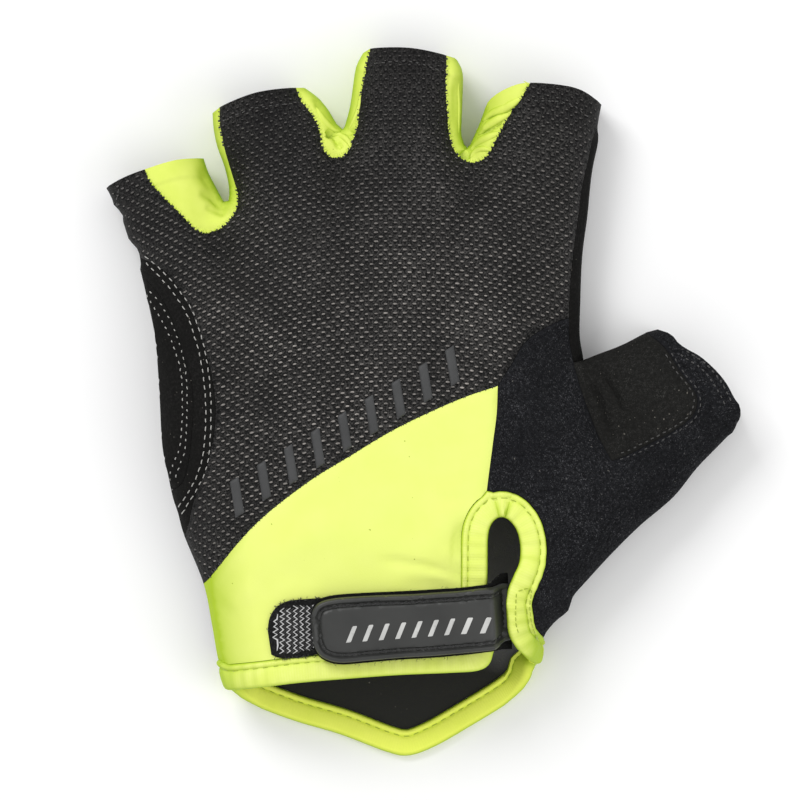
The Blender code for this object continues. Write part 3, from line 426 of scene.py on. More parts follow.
def leftward(points):
    """Unit vectors to the left of a line at each of its points."""
    forward = unit(np.gradient(points, axis=0))
    return np.column_stack([-forward[:, 1], forward[:, 0]])


def side_offset(points, distance):
    """Line moved to its left by a distance, without the loops that tight bends would make."""
    moved = points + distance * leftward(points)
    clear = distance_to_line(moved, points)[0] > abs(distance) * OFFSET_KEPT
    clear[0] = clear[-1] = True
    return moved[clear]


def distance_to_line(points, corners):
    """Distance from each point to a line, the nearest segment and the place on it."""
    start = corners[:-1]
    span = corners[1:] - start
    span_squared = np.maximum((span ** 2).sum(axis=1), 1e-18)
    found = []
    for first in range(0, len(points), CHUNK):
        some = points[first:first + CHUNK]
        t = ((some[:, None, :] - start[None]) * span[None]).sum(axis=2) / span_squared
        t = np.clip(t, 0.0, 1.0)
        away = some[:, None, :] - start[None] - t[:, :, None] * span[None]
        gaps = (away ** 2).sum(axis=2)
        nearest = gaps.argmin(axis=1)
        rows = np.arange(len(some))
        found.append((np.sqrt(gaps[rows, nearest]), nearest, t[rows, nearest]))
    return tuple(np.concatenate(part) for part in zip(*found))


def is_inside(points, outline):
    """Which points lie inside a closed outline."""
    x0, y0 = outline[:, 0][None], outline[:, 1][None]
    x1, y1 = np.roll(outline[:, 0], -1)[None], np.roll(outline[:, 1], -1)[None]
    rise = np.where(y1 == y0, 1e-12, y1 - y0)
    found = []
    for first in range(0, len(points), CHUNK):
        x, y = points[first:first + CHUNK, 0][:, None], points[first:first + CHUNK, 1][:, None]
        crosses = (y0 > y) != (y1 > y)
        found.append((crosses & (x < (x1 - x0) * (y - y0) / rise + x0)).sum(axis=1) % 2 == 1)
    return np.concatenate(found)


def ease(value, low, high):
    """Smooth step from 0 at low to 1 at high."""
    t = np.clip((value - low) / (high - low), 0.0, 1.0)
    return t * t * (3.0 - 2.0 * t)


class Form:
    """The glove's soft form: upper and lower surface over one silhouette."""

    def __init__(self):
        cuff = np.array([0.0, -OPENING_REACH * GLOVE_LENGTH])
        silhouette = np.vstack([
            [plan(LITTLE_SIDE[0]) + cuff], line(LITTLE_SIDE), self.beyond(LITTLE_TIP),
            line(LITTLE_RING_SIDE), self.beyond(RING_TIP), line(RING_MIDDLE_SIDE),
            self.beyond(MIDDLE_TIP), line(MIDDLE_INDEX_SIDE), self.beyond(INDEX_TIP),
            line(INDEX_SIDE)[:-1], line(THUMB_UPPER_SIDE), self.beyond(THUMB_TIP),
            line(LOWER_SIDE), [plan(LOWER_SIDE[-1]) + cuff]])
        self.closed = looped(silhouette)
        forward = unit(np.diff(self.closed, axis=0))
        inward = np.column_stack([forward[:, 1], -forward[:, 0]])
        self.corner_inward = looped(unit(inward + np.roll(inward, 1, axis=0)))

    @staticmethod
    def beyond(tip):
        """The two ends of a finger's opening, moved out along the finger."""
        start, end = plan(tip[0]), plan(tip[-1])
        across = end - start
        way = np.array([-across[1], across[0]]) / np.linalg.norm(across)
        return [place + way * (OPENING_REACH * GLOVE_LENGTH) for place in (start, end)]

    def inset(self, points):
        """Depth inside the silhouette, and the direction in which it grows."""
        depth, segment, t = distance_to_line(points, self.closed)
        start = self.closed[segment]
        places = start + t[:, None] * (self.closed[segment + 1] - start)
        mixed = ((1 - t)[:, None] * self.corner_inward[segment]
                 + t[:, None] * self.corner_inward[segment + 1])
        share = ease(depth, 0.0002, CORNER_BLEND)[:, None]
        away = (points - places) / np.maximum(depth, 1e-9)[:, None]
        inward = (1 - share) * mixed + share * away
        return depth, inward / np.maximum(np.linalg.norm(inward, axis=1), 1e-9)[:, None]

    def shape(self, points):
        """Rise of the back and width of its rounding, at each point."""
        share_x = points[:, 0] / GLOVE_WIDTH
        share_y = points[:, 1] / GLOVE_LENGTH
        knuckles = np.array(KNUCKLE_LINE)
        below = (np.interp(share_x, knuckles[:, 0], knuckles[:, 1]) - share_y) * GLOVE_LENGTH
        hand = ease(below, -0.15 * KNUCKLE_BLEND, KNUCKLE_BLEND)
        outward = (points - plan(THUMB_ROOT)) @ turned(math.radians(THUMB_DIRECTION_DEGREES))
        hand = hand * (1.0 - ease(outward, -0.75 * THUMB_BLEND, 0.25 * THUMB_BLEND))
        cuff = ease(-share_y, 0.18, 0.42)
        crest = HAND_RISE + (CUFF_RISE - HAND_RISE) * cuff
        rise = FINGER_RISE + (crest - FINGER_RISE) * hand
        rounding = FINGER_ROUNDING + (HAND_ROUNDING - FINGER_ROUNDING) * hand
        return rise, rounding

    def folds(self, points):
        """Height that folds and dents add where the back is fully risen."""
        total = np.zeros(len(points))
        for row in FOLDS:
            turn = math.radians(row[2])
            away = points - plan(row)
            along = away @ turned(turn) / (row[3] * GLOVE_LENGTH)
            across = away @ np.array([-math.sin(turn), math.cos(turn)]) / (row[4] * GLOVE_LENGTH)
            total += row[5] * HAND_RISE * np.exp(-along ** 2 - across ** 2)
        return total

    def bridge(self, points):
        """Height of the bulge where tape and panel ride over the strap's end."""
        away = points - plan(SLIT_BRIDGE)
        slope = np.where(away[:, 0] < 0.0, 0.35, 1.0) * SLIT_BRIDGE_SLOPE
        away = np.abs(away)
        flat_x = 0.5 * BINDING_WIDTH + SEAM_GAP
        flat_y = 0.5 * STRAP_WIDTH + 2 * BACKING_MARGIN + SEAM_GAP
        across = 1.0 - ease(away[:, 0], flat_x, flat_x + slope)
        along = 1.0 - ease(away[:, 1], flat_y, flat_y + SLIT_BRIDGE_SLOPE)
        raised = across * along
        near = raised > 0.0
        if near.any():
            raised[near] *= ease(self.inset(points[near])[0], 0.0, 0.5 * SLIT_BRIDGE_SLOPE)
        return SLIT_BRIDGE_RISE * raised

    def height_of_back(self, points, bridged):
        """How high the back stands where it is fully risen."""
        rise = self.shape(points)[0] + self.folds(points)
        return rise + self.bridge(points) if bridged else rise

    def surface(self, points, side, bridged=True):
        """Outer points and outward normals of the upper or lower surface."""
        depth, inward = self.inset(points)
        slope = np.zeros((len(points), 2))
        bridge = np.zeros(len(points))
        if side == TOP:
            rise, rounding = self.shape(points)
            rise = rise + self.folds(points)
            for k, shift in enumerate(SLOPE_STEP * np.eye(2)):
                change = (self.height_of_back(points + shift, bridged)
                          - self.height_of_back(points - shift, bridged))
                slope[:, k] = change / (2 * SLOPE_STEP)
            if bridged:
                bridge = self.bridge(points)
        else:
            rise = np.full(len(points), SIDE_SEAM_HEIGHT)
            rounding = np.full(len(points), PALM_ROUNDING)
        t = np.clip(depth / rounding, 0.0, 1.0)
        bulge = np.sqrt(t * (2.0 - t))
        flat = -(rise / rounding * (1.0 - t))[:, None] * inward - bulge[:, None] * slope
        normals = unit(np.column_stack([flat, side * bulge]))
        if side == TOP:
            height = SIDE_SEAM_HEIGHT + rise * bulge + bridge
        else:
            height = SIDE_SEAM_HEIGHT * (1.0 - bulge)
        return np.column_stack([points, height]), normals

    def rounding_points(self, side):
        """Plan points in rows beside the silhouette, where the surface turns fastest."""
        rows = []
        lines = resample(self.closed, LINE_STEP)
        inward = self.inset(lines)[1]
        for angle in ROUNDING_ANGLES:
            if side == TOP:
                rounding = self.shape(lines + inward * FINGER_ROUNDING)[1]
            else:
                rounding = np.full(len(lines), PALM_ROUNDING)
            reach = rounding * (1.0 - math.cos(math.radians(angle)))
            moved = lines + inward * reach[:, None]
            rows.append(moved[self.inset(moved)[0] > reach * 0.9])
        return np.vstack(rows)


form = Form()
edge_seeds = {TOP: form.rounding_points(TOP), BOTTOM: form.rounding_points(BOTTOM)}


def fabric_waves(points):
    """Faint unevenness of lying cloth, from a few seeded waves."""
    draw = random.Random(WAVE_SEED)
    total = np.zeros(len(points))
    for _ in range(WAVE_COUNT):
        turn = draw.uniform(0.0, math.pi)
        size = draw.uniform(*WAVE_SIZES)
        phase = draw.uniform(0.0, 2.0 * math.pi)
        total += np.sin(points @ turned(turn) * (2.0 * math.pi / size) + phase)
    return WAVE_HEIGHT * total / math.sqrt(WAVE_COUNT)


def creases(points):
    """Height that the creases, ridges and pockets of the tables add."""
    total = np.zeros(len(points))
    for path, left, right, height in CREASES:
        run = pixel_line(path)
        gap, segment, t = distance_to_line(points, run)
        near = gap < 3.0 * max(left, right) * MM
        if not near.any():
            continue
        gap, segment, t = gap[near], segment[near], t[near]
        span = run[segment + 1] - run[segment]
        away = points[near] - run[segment]
        on_left = span[:, 0] * away[:, 1] - span[:, 1] * away[:, 0] > 0.0
        width = np.where(on_left, left, right) * MM
        share = (segment + t) / (len(run) - 1)
        fade = ease(share, 0.0, CREASE_TAPER) * ease(1.0 - share, 0.0, CREASE_TAPER)
        total[near] += height * MM * fade * np.exp(-(gap / width) ** 2)
    return total


def relief(points):
    """What the looks add to the upper surface: seam grooves, creases and waves."""
    seam = np.full(len(points), 1.0)
    for run in grooved:
        seam = np.minimum(seam, distance_to_line(points, run)[0])
    strap = np.abs(points - at(STRAP_MIDDLE)) / (np.array(STRAP_CLEAR) * MM)
    calm = ease(strap.max(axis=1), 0.8, 1.2)
    height = creases(points) + fabric_waves(points) * calm
    height -= GROOVE_DEPTH * np.exp(-(seam / GROOVE_WIDTH) ** 2)
    for run in hemmed:
        gap = distance_to_line(points, run)[0]
        height += HEM_RISE * (1.0 - ease(gap, HEM_WIDTH - HEM_EDGE, HEM_WIDTH))
    swell = ease(distance_to_line(points, pad_line)[0], 0.0, PAD_EDGE)
    height += PAD_SWELL * np.where(is_inside(points, pad_shape), swell, 0.0)
    return height * ease(form.inset(points)[0], 0.0, RELIEF_EDGE)


def upper(points, bridged=True):
    """Points and normals of the finished upper surface."""
    outer, normals = form.surface(points, TOP, bridged)
    return outer + relief(points)[:, None] * normals, normals


def grid_points(step, low, high):
    """Staggered plan grid over a rectangle."""
    rows = []
    row_step = step * math.sqrt(3) / 2
    for j in range(int(math.floor(low[1] / row_step)), int(math.ceil(high[1] / row_step)) + 1):
        x = np.arange(math.floor(low[0] / step) * step, high[0], step) + (j % 2) * step / 2
        rows.append(np.column_stack([x, np.full(len(x), j * row_step)]))
    return np.vstack(rows)


def spread_inside(outline, seeds, spacings):
    """Seed points inside an outline, clear of it and of each other."""
    closed = looped(outline)
    low, high = outline.min(axis=0), outline.max(axis=0)
    kept, cells = [], {}
    for points, spacing in zip(seeds, spacings):
        points = points[((points > low) & (points < high)).all(axis=1)]
        if len(points) == 0:
            continue
        points = points[is_inside(points, outline)]
        if len(points) == 0:
            continue
        points = points[distance_to_line(points, closed)[0] > CLEAR_OF_OUTLINE * spacing]
        apart = CLEAR_OF_POINTS * spacing
        size = CLEAR_OF_POINTS * max(spacings)
        for x, y in points:
            column, row = int(x // size), int(y // size)
            near = (q for i in (-1, 0, 1) for j in (-1, 0, 1)
                    for q in cells.get((column + i, row + j), ()))
            if all((x - q[0]) ** 2 + (y - q[1]) ** 2 > apart ** 2 for q in near):
                kept.append((x, y))
                cells.setdefault((column, row), []).append((x, y))
    return np.array(kept).reshape(-1, 2)


def tidy(outline):
    """Outline without repeated points."""
    kept = [outline[0]]
    for point in outline[1:]:
        if np.linalg.norm(point - kept[-1]) > SAME_POINT:
            kept.append(point)
    if np.linalg.norm(kept[0] - kept[-1]) < SAME_POINT:
        kept.pop()
    return np.array(kept)


def fill(outline, seeds, spacings):
    """Triangles of a plan outline, with inner points from the seeds."""
    outline = tidy(outline)
    points = np.vstack([outline, spread_inside(outline, seeds, spacings)])
    loop = list(range(len(outline)))
    result = delaunay_2d_cdt([Vector(p) for p in points], [], [loop], 1, 1e-7)
    flat = np.array([tuple(v) for v in result[0]])
    faces = []
    for face in result[2]:
        a, b, c = (flat[i] for i in face[:3])
        turn = (b[0] - a[0]) * (c[1] - a[1]) - (b[1] - a[1]) * (c[0] - a[0])
        if abs(turn) > 1e-13:
            faces.append(tuple(face) if turn > 0 else tuple(reversed(face)))
    return flat, faces


def sheet(patches, step):
    """Outer points, normals and faces of patches welded where they meet at the side."""
    points, normals, faces, known = [], [], [], {}
    for outline, side in patches:
        outline = np.vstack(outline)
        low, high = outline.min(axis=0), outline.max(axis=0)
        spacing = step if side == TOP else PALM_GRID_STEP
        flat, triangles = fill(
            outline, (edge_seeds[side], grid_points(spacing, low, high)), (0.9 * step, spacing))
        outer, outward = form.surface(flat, side)
        if side == TOP:
            outer = outer + relief(flat)[:, None] * outward
        depth = form.inset(flat)[0]
        index = []
        for i, place in enumerate(flat):
            on_side = depth[i] < 2e-6
            key = (round(place[0] * 1e6), round(place[1] * 1e6), 0 if on_side else side)
            if key not in known:
                known[key] = len(points)
                points.append(outer[i])
                normal = outward[i]
                if on_side:
                    normal = np.array([normal[0], normal[1], 0.0])
                    normal = normal / np.linalg.norm(normal)
                normals.append(normal)
            index.append(known[key])
        for face in triangles:
            face = tuple(index[i] for i in face)
            if len(set(face)) == 3:
                faces.append(face if side == TOP else tuple(reversed(face)))
    return np.array(points), np.array(normals), faces


def edge_runs(faces):
    """Next and previous point of each point on the sheet's edge."""
    directed = set()
    for face in faces:
        for a, b in zip(face, face[1:] + face[:1]):
            directed.add((a, b))
    follows = {a: b for a, b in directed if (b, a) not in directed}
    precedes = {b: a for a, b in follows.items()}
    return follows, precedes


def solid_between(outer, inner, faces, follows):
    """Closed solid between two sheets with the same faces and edge."""
    count = len(outer)
    solid = [tuple(face) for face in faces]
    solid += [tuple(i + count for i in reversed(face)) for face in faces]
    solid += [(b, a, a + count, b + count) for a, b in follows.items()]
    return np.vstack([outer, inner]), solid


def walled(points, normals, faces, wall):
    """Closed wall of a sheet, drawn back from its seams by half the seam gap."""
    follows, precedes = edge_runs(faces)
    moved = points.copy()
    for i, after in follows.items():
        before = precedes[i]
        ways = []
        for start, end in ((before, i), (i, after)):
            way = np.cross(normals[i], points[end] - points[start])
            ways.append(way / max(np.linalg.norm(way), 1e-12))
        inward = ways[0] + ways[1]
        size = np.linalg.norm(inward)
        stretch = min(2.0 / max(size, 0.5), 1.6)
        moved[i] = points[i] + inward / max(size, 1e-9) * (0.5 * SEAM_GAP * stretch)
    moved[:, 2] = np.maximum(moved[:, 2], 0.0)
    return solid_between(moved, moved - wall * normals, faces, follows)


def warped(points):
    """Points after the small shifts of the outline."""
    moved = points.copy()
    size = GLOVE_WIDTH / PIXELS_WIDE
    for place, reach, shift in WARPS:
        away = np.linalg.norm(points[:, :2] - at(place), axis=1)
        share = np.exp(-(away / (reach * size)) ** 2)[:, None]
        moved[:, :2] += share * np.array([shift[0], -shift[1]]) * size
    moved[:, 2] = np.maximum(moved[:, 2], 0.0)
    return moved


def piece(name, points, faces, paint, sharp_degrees=50.0, coords=None):
    """A mesh object in the row frame, which rides on the glove."""
    mesh = bpy.data.meshes.new(name)
    mesh.from_pydata((warped(np.asarray(points)) + np.array(SEAT)).tolist(), [], faces)
    if coords is not None:
        layer = mesh.uv_layers.new(name="along")
        corners = np.array([vertex for face in faces for vertex in face])
        layer.data.foreach_set("uv", np.asarray(coords)[corners].astype(np.float32).ravel())
    mesh.materials.append(paint)
    mesh.shade_smooth()
    mesh.set_sharp_from_angle(angle=math.radians(sharp_degrees))
    made = bpy.data.objects.new(name, mesh)
    bpy.context.scene.collection.objects.link(made)
    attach(made, "root")
    return made


def stands_for(made, slot, *nodes):
    """Hides the imported nodes that a piece replaces; the slot, which would say where its finish
    comes from, is not used.
    """
    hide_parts(*nodes)
    return made


def loft(rings):
    """Closed solid through rings of equally many points."""
    size = len(rings[0])
    faces = []
    for k in range(len(rings) - 1):
        for i in range(size):
            j = (i + 1) % size
            faces.append((k * size + i, k * size + j, (k + 1) * size + j, (k + 1) * size + i))
    faces.append(tuple(reversed(range(size))))
    faces.append(tuple((len(rings) - 1) * size + i for i in range(size)))
    return np.vstack(rings), faces


# Colours, in linear light
BLACK_MESH = (0.0035, 0.0035, 0.0036)
MESH_YARN = (0.098, 0.094, 0.090)
# Pale bar tone: the yarn's grey-brown, lightened into painted glints
BAR_GLINT_YARN = (0.42, 0.39, 0.36)
DULL_BAR = (0.045, 0.043, 0.042)
NEON = (0.80, 0.885, 0.215)
NEON_DEEP = (0.72, 0.84, 0.13)
# Painted shade: the deeper green that steep neon cloth is painted
NEON_PAINTED_SHADE = (0.40, 0.56, 0.012)
NEON_FLECK = (0.34, 0.42, 0.03)
SUEDE = (0.0075, 0.0074, 0.0070)
SUEDE_NAP = (0.026, 0.025, 0.024)
# Painted light on the palm's inner face: its tone, and the paler tone below the slit
SUEDE_INSIDE_PAINTED_LIGHT = ((0.029, 0.029, 0.027), (0.19, 0.185, 0.20))
KNIT = (0.0100, 0.0104, 0.0118)
KNIT_NAP = (0.052, 0.053, 0.059)
LINT = (0.16, 0.15, 0.13)

# Middle of the painted sheen on the mesh, and middle of the painted light on the palm's inner face
# where the slit shows it
SHEEN_MIDDLE = (0.016, -0.004, 0.012)
SLIT_LIGHT_MIDDLE = (0.0245, -0.0395, 0.003)
TAPE_RIB = 0.00062


def shade(tone, share):
    """A darker tone of a colour."""
    return tuple(share * part for part in tone)


class Paint:
    """A Principled material whose colour and relief are worked out by nodes."""

    def __init__(self, name, **plain):
        self.material = bpy.data.materials.new(name)
        self.material.use_nodes = True
        self.tree = self.material.node_tree
        self.shader = self.tree.nodes["Principled BSDF"]
        for key, value in plain.items():
            self.shader.inputs[key.replace("_", " ")].default_value = value
        self.place = self.node("ShaderNodeTexCoord").outputs["Object"]

    def node(self, kind, inputs=(), **settings):
        made = self.tree.nodes.new(kind)
        for key, value in settings.items():
            setattr(made, key, value)
        for key, value in dict(inputs).items():
            if isinstance(value, bpy.types.NodeSocket):
                self.tree.links.new(value, made.inputs[key])
            else:
                made.inputs[key].default_value = value
        return made

    def math(self, operation, a, b=0.0):
        return self.node("ShaderNodeMath", {0: a, 1: b}, operation=operation).outputs[0]

    def times(self, a, b):
        return self.math("MULTIPLY", a, b)

    def part(self, axis, vector=None):
        """One part of a vector, which is the place on the object if none is given."""
        parts = self.node("ShaderNodeSeparateXYZ", {"Vector": vector or self.place})
        return parts.outputs[axis]

    def away(self, place):
        """Distance from a place."""
        return self.node("ShaderNodeVectorMath", {0: self.place, 1: place},
                         operation="DISTANCE").outputs["Value"]

    def up(self):
        """How far the surface looks up, from -1 to 1."""
        return self.part("Z", self.node("ShaderNodeNewGeometry").outputs["Normal"])

    def noise(self, size, detail=2.0, roughness=0.5):
        return self.node("ShaderNodeTexNoise", {
            "Vector": self.place, "Scale": 1.0 / size, "Detail": detail,
            "Roughness": roughness}).outputs["Fac"]

    def spread(self, value, low, high, to_low=0.0, to_high=1.0):
        """Share from one value to another, kept between the two that it leads to."""
        return self.node("ShaderNodeMapRange", {
            "Value": value, "From Min": low, "From Max": high, "To Min": to_low,
            "To Max": to_high}).outputs["Result"]

    def painted_sheen(self):
        """Painted sheen: how much brighter the mesh is painted round its middle, where the light
        falls most.
        """
        return self.spread(self.away(SHEEN_MIDDLE), 0.018, 0.085, 1.30, 0.72)

    def level(self, low, high):
        """From 0 on steep cloth to 1 on level cloth."""
        return self.spread(self.math("ABSOLUTE", self.up()), low, high)

    def mix(self, share, a, b):
        a, b = (tone if isinstance(tone, bpy.types.NodeSocket) else (*tone, 1.0)
                for tone in (a, b))
        return self.node("ShaderNodeMix", {0: share, 6: a, 7: b}, data_type="RGBA").outputs[2]

    def finish(self, colour, height, strength, distance, roughness=None):
        """The material with its colour, its bumps and perhaps its roughness joined up."""
        bump = self.node("ShaderNodeBump", {
            "Height": height, "Strength": strength, "Distance": distance}).outputs["Normal"]
        for key, value in (("Base Color", colour), ("Normal", bump), ("Roughness", roughness)):
            if value is not None:
                self.tree.links.new(value, self.shader.inputs[key])
        return self.material


def mesh_paint():
    """Black mesh: yarns round holes, in the same staggered rows as the yarn bars, brighter round
    the middle as painted sheen.
    """
    paint = Paint("mesh_fabric", Specular_IOR_Level=0.15)
    x = paint.part("X")
    away = paint.math("SUBTRACT", x, ARCH_CENTRE)
    row = paint.math("ADD", paint.part("Y"), paint.times(paint.times(away, away), ARCH))
    across = paint.math("COSINE", paint.times(x, 2.0 * math.pi / BAR_PITCH))
    lower = paint.math("ADD", row, 0.30 * ROW_PITCH)
    along = paint.math("COSINE", paint.times(lower, math.pi / ROW_PITCH))
    holes = paint.spread(paint.times(across, along), 0.25, 0.8)
    fibre = paint.noise(0.00042, 2.0, 0.6)
    knots = paint.spread(fibre, 0.40, 0.66)
    patchy = paint.times(paint.spread(paint.noise(0.016), 0.0, 0.9), paint.painted_sheen())
    share = paint.times(paint.times(knots, paint.math("SUBTRACT", 1.0, holes)), patchy)
    return paint.finish(
        paint.mix(share, BLACK_MESH, MESH_YARN), paint.math("SUBTRACT", knots, holes),
        0.7, 0.0003, paint.spread(fibre, -0.9, 1.0))


def bar_paint():
    """Yarn bars of the mesh: grey-brown yarn lightened into painted glints, brightest under the
    painted sheen and darker towards the fingers.
    """
    paint = Paint("mesh_yarn_bars", Roughness=0.62, Specular_IOR_Level=0.25)
    # Painted sheen: the bars are painted darker towards the fingers and brighter round the mesh's
    # middle
    fade = paint.spread(paint.part("Y"), 0.095, 0.012)
    tone = paint.times(fade, paint.spread(paint.noise(0.0011, 1.0), 0.15, 0.72))
    patchy = paint.times(paint.times(tone, paint.painted_sheen()),
                         paint.spread(paint.noise(0.018), 0.0, 0.7))
    return paint.finish(paint.mix(patchy, DULL_BAR, BAR_GLINT_YARN), paint.noise(0.00012), 0.3, 0.0001)


def neon_paint(name, fine, deep, light=NEON, steep=(0.45, 0.93)):
    """Neon stretch cloth: fine knit, faint mottling, a few dark flecks and painted shade, a deeper
    green, on its steep faces.
    """
    paint = Paint(name, Roughness=0.7, Specular_IOR_Level=0.25)
    mottled = paint.mix(paint.spread(paint.noise(0.007, 3.0), 0.3, 0.75), light, deep)
    fleck = paint.spread(paint.noise(0.0012, 1.0), 0.795, 0.815)
    flecked = paint.mix(fleck, mottled, NEON_FLECK)
    # Painted shade: steep faces take the deeper green
    colour = paint.mix(paint.level(*steep), NEON_PAINTED_SHADE, flecked)
    return paint.finish(colour, paint.noise(fine, 2.0, 0.6), 0.25, 0.00012)


def tape_paint(name, light, deep):
    """Neon binding tape: fine ribs across it, with painted shade in the rib grooves and on its
    steep faces.
    """
    paint = Paint(name, Roughness=0.6, Specular_IOR_Level=0.3)
    run = paint.part("X", paint.node("ShaderNodeUVMap", uv_map="along").outputs["UV"])
    ribs = paint.math("SINE", paint.times(run, 2.0 * math.pi / TAPE_RIB))
    mottled = paint.mix(paint.spread(paint.noise(0.005, 3.0), 0.3, 0.8), light, deep)
    # Painted shade in the rib grooves
    ribbed = paint.mix(paint.spread(ribs, 0.6, -4.0), mottled, deep)
    colour = paint.mix(paint.level(0.35, 0.93), NEON_PAINTED_SHADE, ribbed)
    height = paint.math("ADD", paint.times(ribs, 0.4), paint.noise(0.0003))
    return paint.finish(colour, height, 0.22, 0.00014)


def nap_paint(name, dark, light, size, fleck, bump_size, inner=None):
    """Napped black cloth or suede with paler fibres, flecks and perhaps painted light on the inner
    face, palest below the slit.
    """
    paint = Paint(name, Roughness=0.95, Specular_IOR_Level=0.06)
    nap = paint.noise(size, 4.0, 0.75)
    patchy = paint.spread(paint.noise(0.010, 3.0, 0.6), 0.15, 0.75)
    napped = paint.mix(paint.times(paint.spread(nap, 0.46, 0.80), patchy), dark, light)
    if inner:
        # Painted light on the inner face, palest below the slit, where the inside lies in shade
        inner_painted_light = paint.mix(paint.spread(paint.away(SLIT_LIGHT_MIDDLE), 0.026, 0.016), *inner)
        inner_light_mask = paint.times(paint.spread(paint.part("Z"), 0.0085, 0.0055),
                             paint.spread(paint.up(), 0.15, 0.5))
        napped = paint.mix(inner_light_mask, napped, inner_painted_light)
    lint = paint.spread(paint.noise(0.0007, 1.0), fleck, fleck + 0.02)
    return paint.finish(paint.mix(lint, napped, LINT), nap, 0.7, bump_size)


def rubber_paint(name, tone, roughness):
    """Moulded rubber: even grey with a faint grain and duller patches."""
    paint = Paint(name, Specular_IOR_Level=0.45)
    dull = paint.math("ADD", paint.times(paint.noise(0.006, 3.0), 0.22), roughness - 0.11)
    patches = paint.spread(paint.noise(0.009, 4.0), 0.3, 0.7)
    return paint.finish(paint.mix(patches, tone, shade(tone, 0.72)), paint.noise(0.00022),
                        0.18, 0.00006, dull)


def thread_paint(name, tone):
    """Sewing thread or yarn: twisted fibres."""
    paint = Paint(name, Roughness=0.6, Sheen_Weight=0.3)
    fibre = paint.noise(0.00016, 3.0, 0.7)
    colour = paint.mix(paint.spread(fibre, 0.35, 0.7), shade(tone, 0.6), tone)
    return paint.finish(colour, fibre, 0.4, 0.00008)


paints = {
    "mesh": mesh_paint(),
    "bars": bar_paint(),
    "stretch": neon_paint("neon_stretch", 0.00035, (0.78, 0.875, 0.19)),
    # The gussets' paint is a darker copy of the neon stretch: painted shade between the fingers.
    "gusset": neon_paint("neon_gusset_painted_shade", 0.0004, (0.66, 0.78, 0.11), (0.75, 0.85, 0.16),
                         (0.10, 0.84)),
    "tape": tape_paint("neon_tape", NEON, NEON_DEEP),
    # The palm tape's paint is a paler copy of the neon tape: painted light where it lies low and
    # in shade.
    "palm_tape": tape_paint("neon_palm_tape_painted_light", (0.92, 1.00, 0.14), (0.85, 0.96, 0.11)),
}
for key, name, *settings in (
        ("suede", "black_suede", SUEDE, SUEDE_NAP, 0.0006, 0.77, 0.00022, SUEDE_INSIDE_PAINTED_LIGHT),
        ("patch_suede", "thumb_suede", (0.0125, 0.0124, 0.0116), (0.042, 0.0415, 0.039),
         0.0006, 0.755, 0.00025),
        ("tufts", "terry_loops", (0.0085, 0.0087, 0.0095), (0.185, 0.187, 0.198),
         0.0007, 0.80, 0.0002),
        ("patch_tufts", "suede_nap", (0.0110, 0.0109, 0.0102), (0.110, 0.109, 0.103),
         0.0010, 0.735, 0.0002),
        ("knit", "black_knit", KNIT, KNIT_NAP, 0.00075, 0.79, 0.00045),
        ("backing", "strap_textile", (0.006, 0.006, 0.006), (0.030, 0.030, 0.030),
         0.0005, 0.80, 0.0003),
        ("loop_base", "loop_base", (0.010, 0.010, 0.010), (0.05, 0.05, 0.05),
         0.0004, 0.80, 0.0003)):
    paints[key] = nap_paint(name, *settings)
for key, name, tone, roughness in (
        ("rubber", "grey_rubber", (0.037, 0.038, 0.036), 0.42),
        ("print", "rubber_print", (0.050, 0.051, 0.052), 0.58),
        ("pale_print", "pale_print", (0.62, 0.62, 0.60), 0.60)):
    paints[key] = rubber_paint(name, tone, roughness)
for name, tone in (
        ("grey_thread", (0.50, 0.49, 0.46)), ("dark_thread", (0.060, 0.058, 0.055)),
        ("neon_thread", (0.50, 0.62, 0.03)), ("white_yarn", (0.80, 0.80, 0.80)),
        ("black_yarn", (0.012, 0.012, 0.012))):
    paints[name] = thread_paint(name, tone)


# Panels. The lines where panels give way to tape are made as in the part's source.
cuff_edge = line(BACK_CUFF_EDGE, step=EDGE_STEP)
slit_edge = line(SLIT_EDGE, step=EDGE_STEP)
palm_edge = line(PALM_CUFF_EDGE, step=EDGE_STEP)[::-1]
little_end, thumb_end = plan(LITTLE_SIDE[1]), plan(LOWER_SIDE[10])
cuff, slit, palm = (side_offset(edge, BINDING_WIDTH) for edge in (cuff_edge, slit_edge, palm_edge))
cuff[0] = palm[0] = little_end
slit, palm[-1] = np.vstack([slit[:-3], thumb_end]), thumb_end
cuff = cuff[distance_to_line(cuff, slit_edge)[0] > BINDING_WIDTH * OFFSET_KEPT]
slit = slit[distance_to_line(slit, cuff_edge)[0] > BINDING_WIDTH * OFFSET_KEPT]
joint = 0.5 * (cuff[-1] + slit[0])
cuff_line, slit_line, palm_line = (
    resample(run, LINE_STEP) for run in (np.vstack([cuff, joint]), np.vstack([joint, slit]), palm))
split = int(np.linalg.norm(slit_line - plan(THUMB_SEAM[-1]), axis=1).argmin())
slit_line[split] = plan(THUMB_SEAM[-1])

grooved = [line(seam, step=GUIDE_STEP) for seam in (
    WRAP_SEAM, PAD_SEAM, LITTLE_RING_SEAM, RING_MIDDLE_SEAM, MIDDLE_INDEX_SEAM, BACK_SEAM,
    KNIT_SEAM, THUMB_SEAM, INDEX_STRIP_SEAM, THUMB_VALLEY, THUMB_PATCH_SEAM)]

hemmed = [line(tip, step=GUIDE_STEP)
          for tip in (LITTLE_TIP, RING_TIP, MIDDLE_TIP, INDEX_TIP, THUMB_TIP)]
pad_line = line(PAD_SEAM, step=GUIDE_STEP)
pad_outline = [line(LITTLE_SIDE, 6, 11), line(PAD_SEAM)[::-1]]
pad_shape = np.vstack(pad_outline)

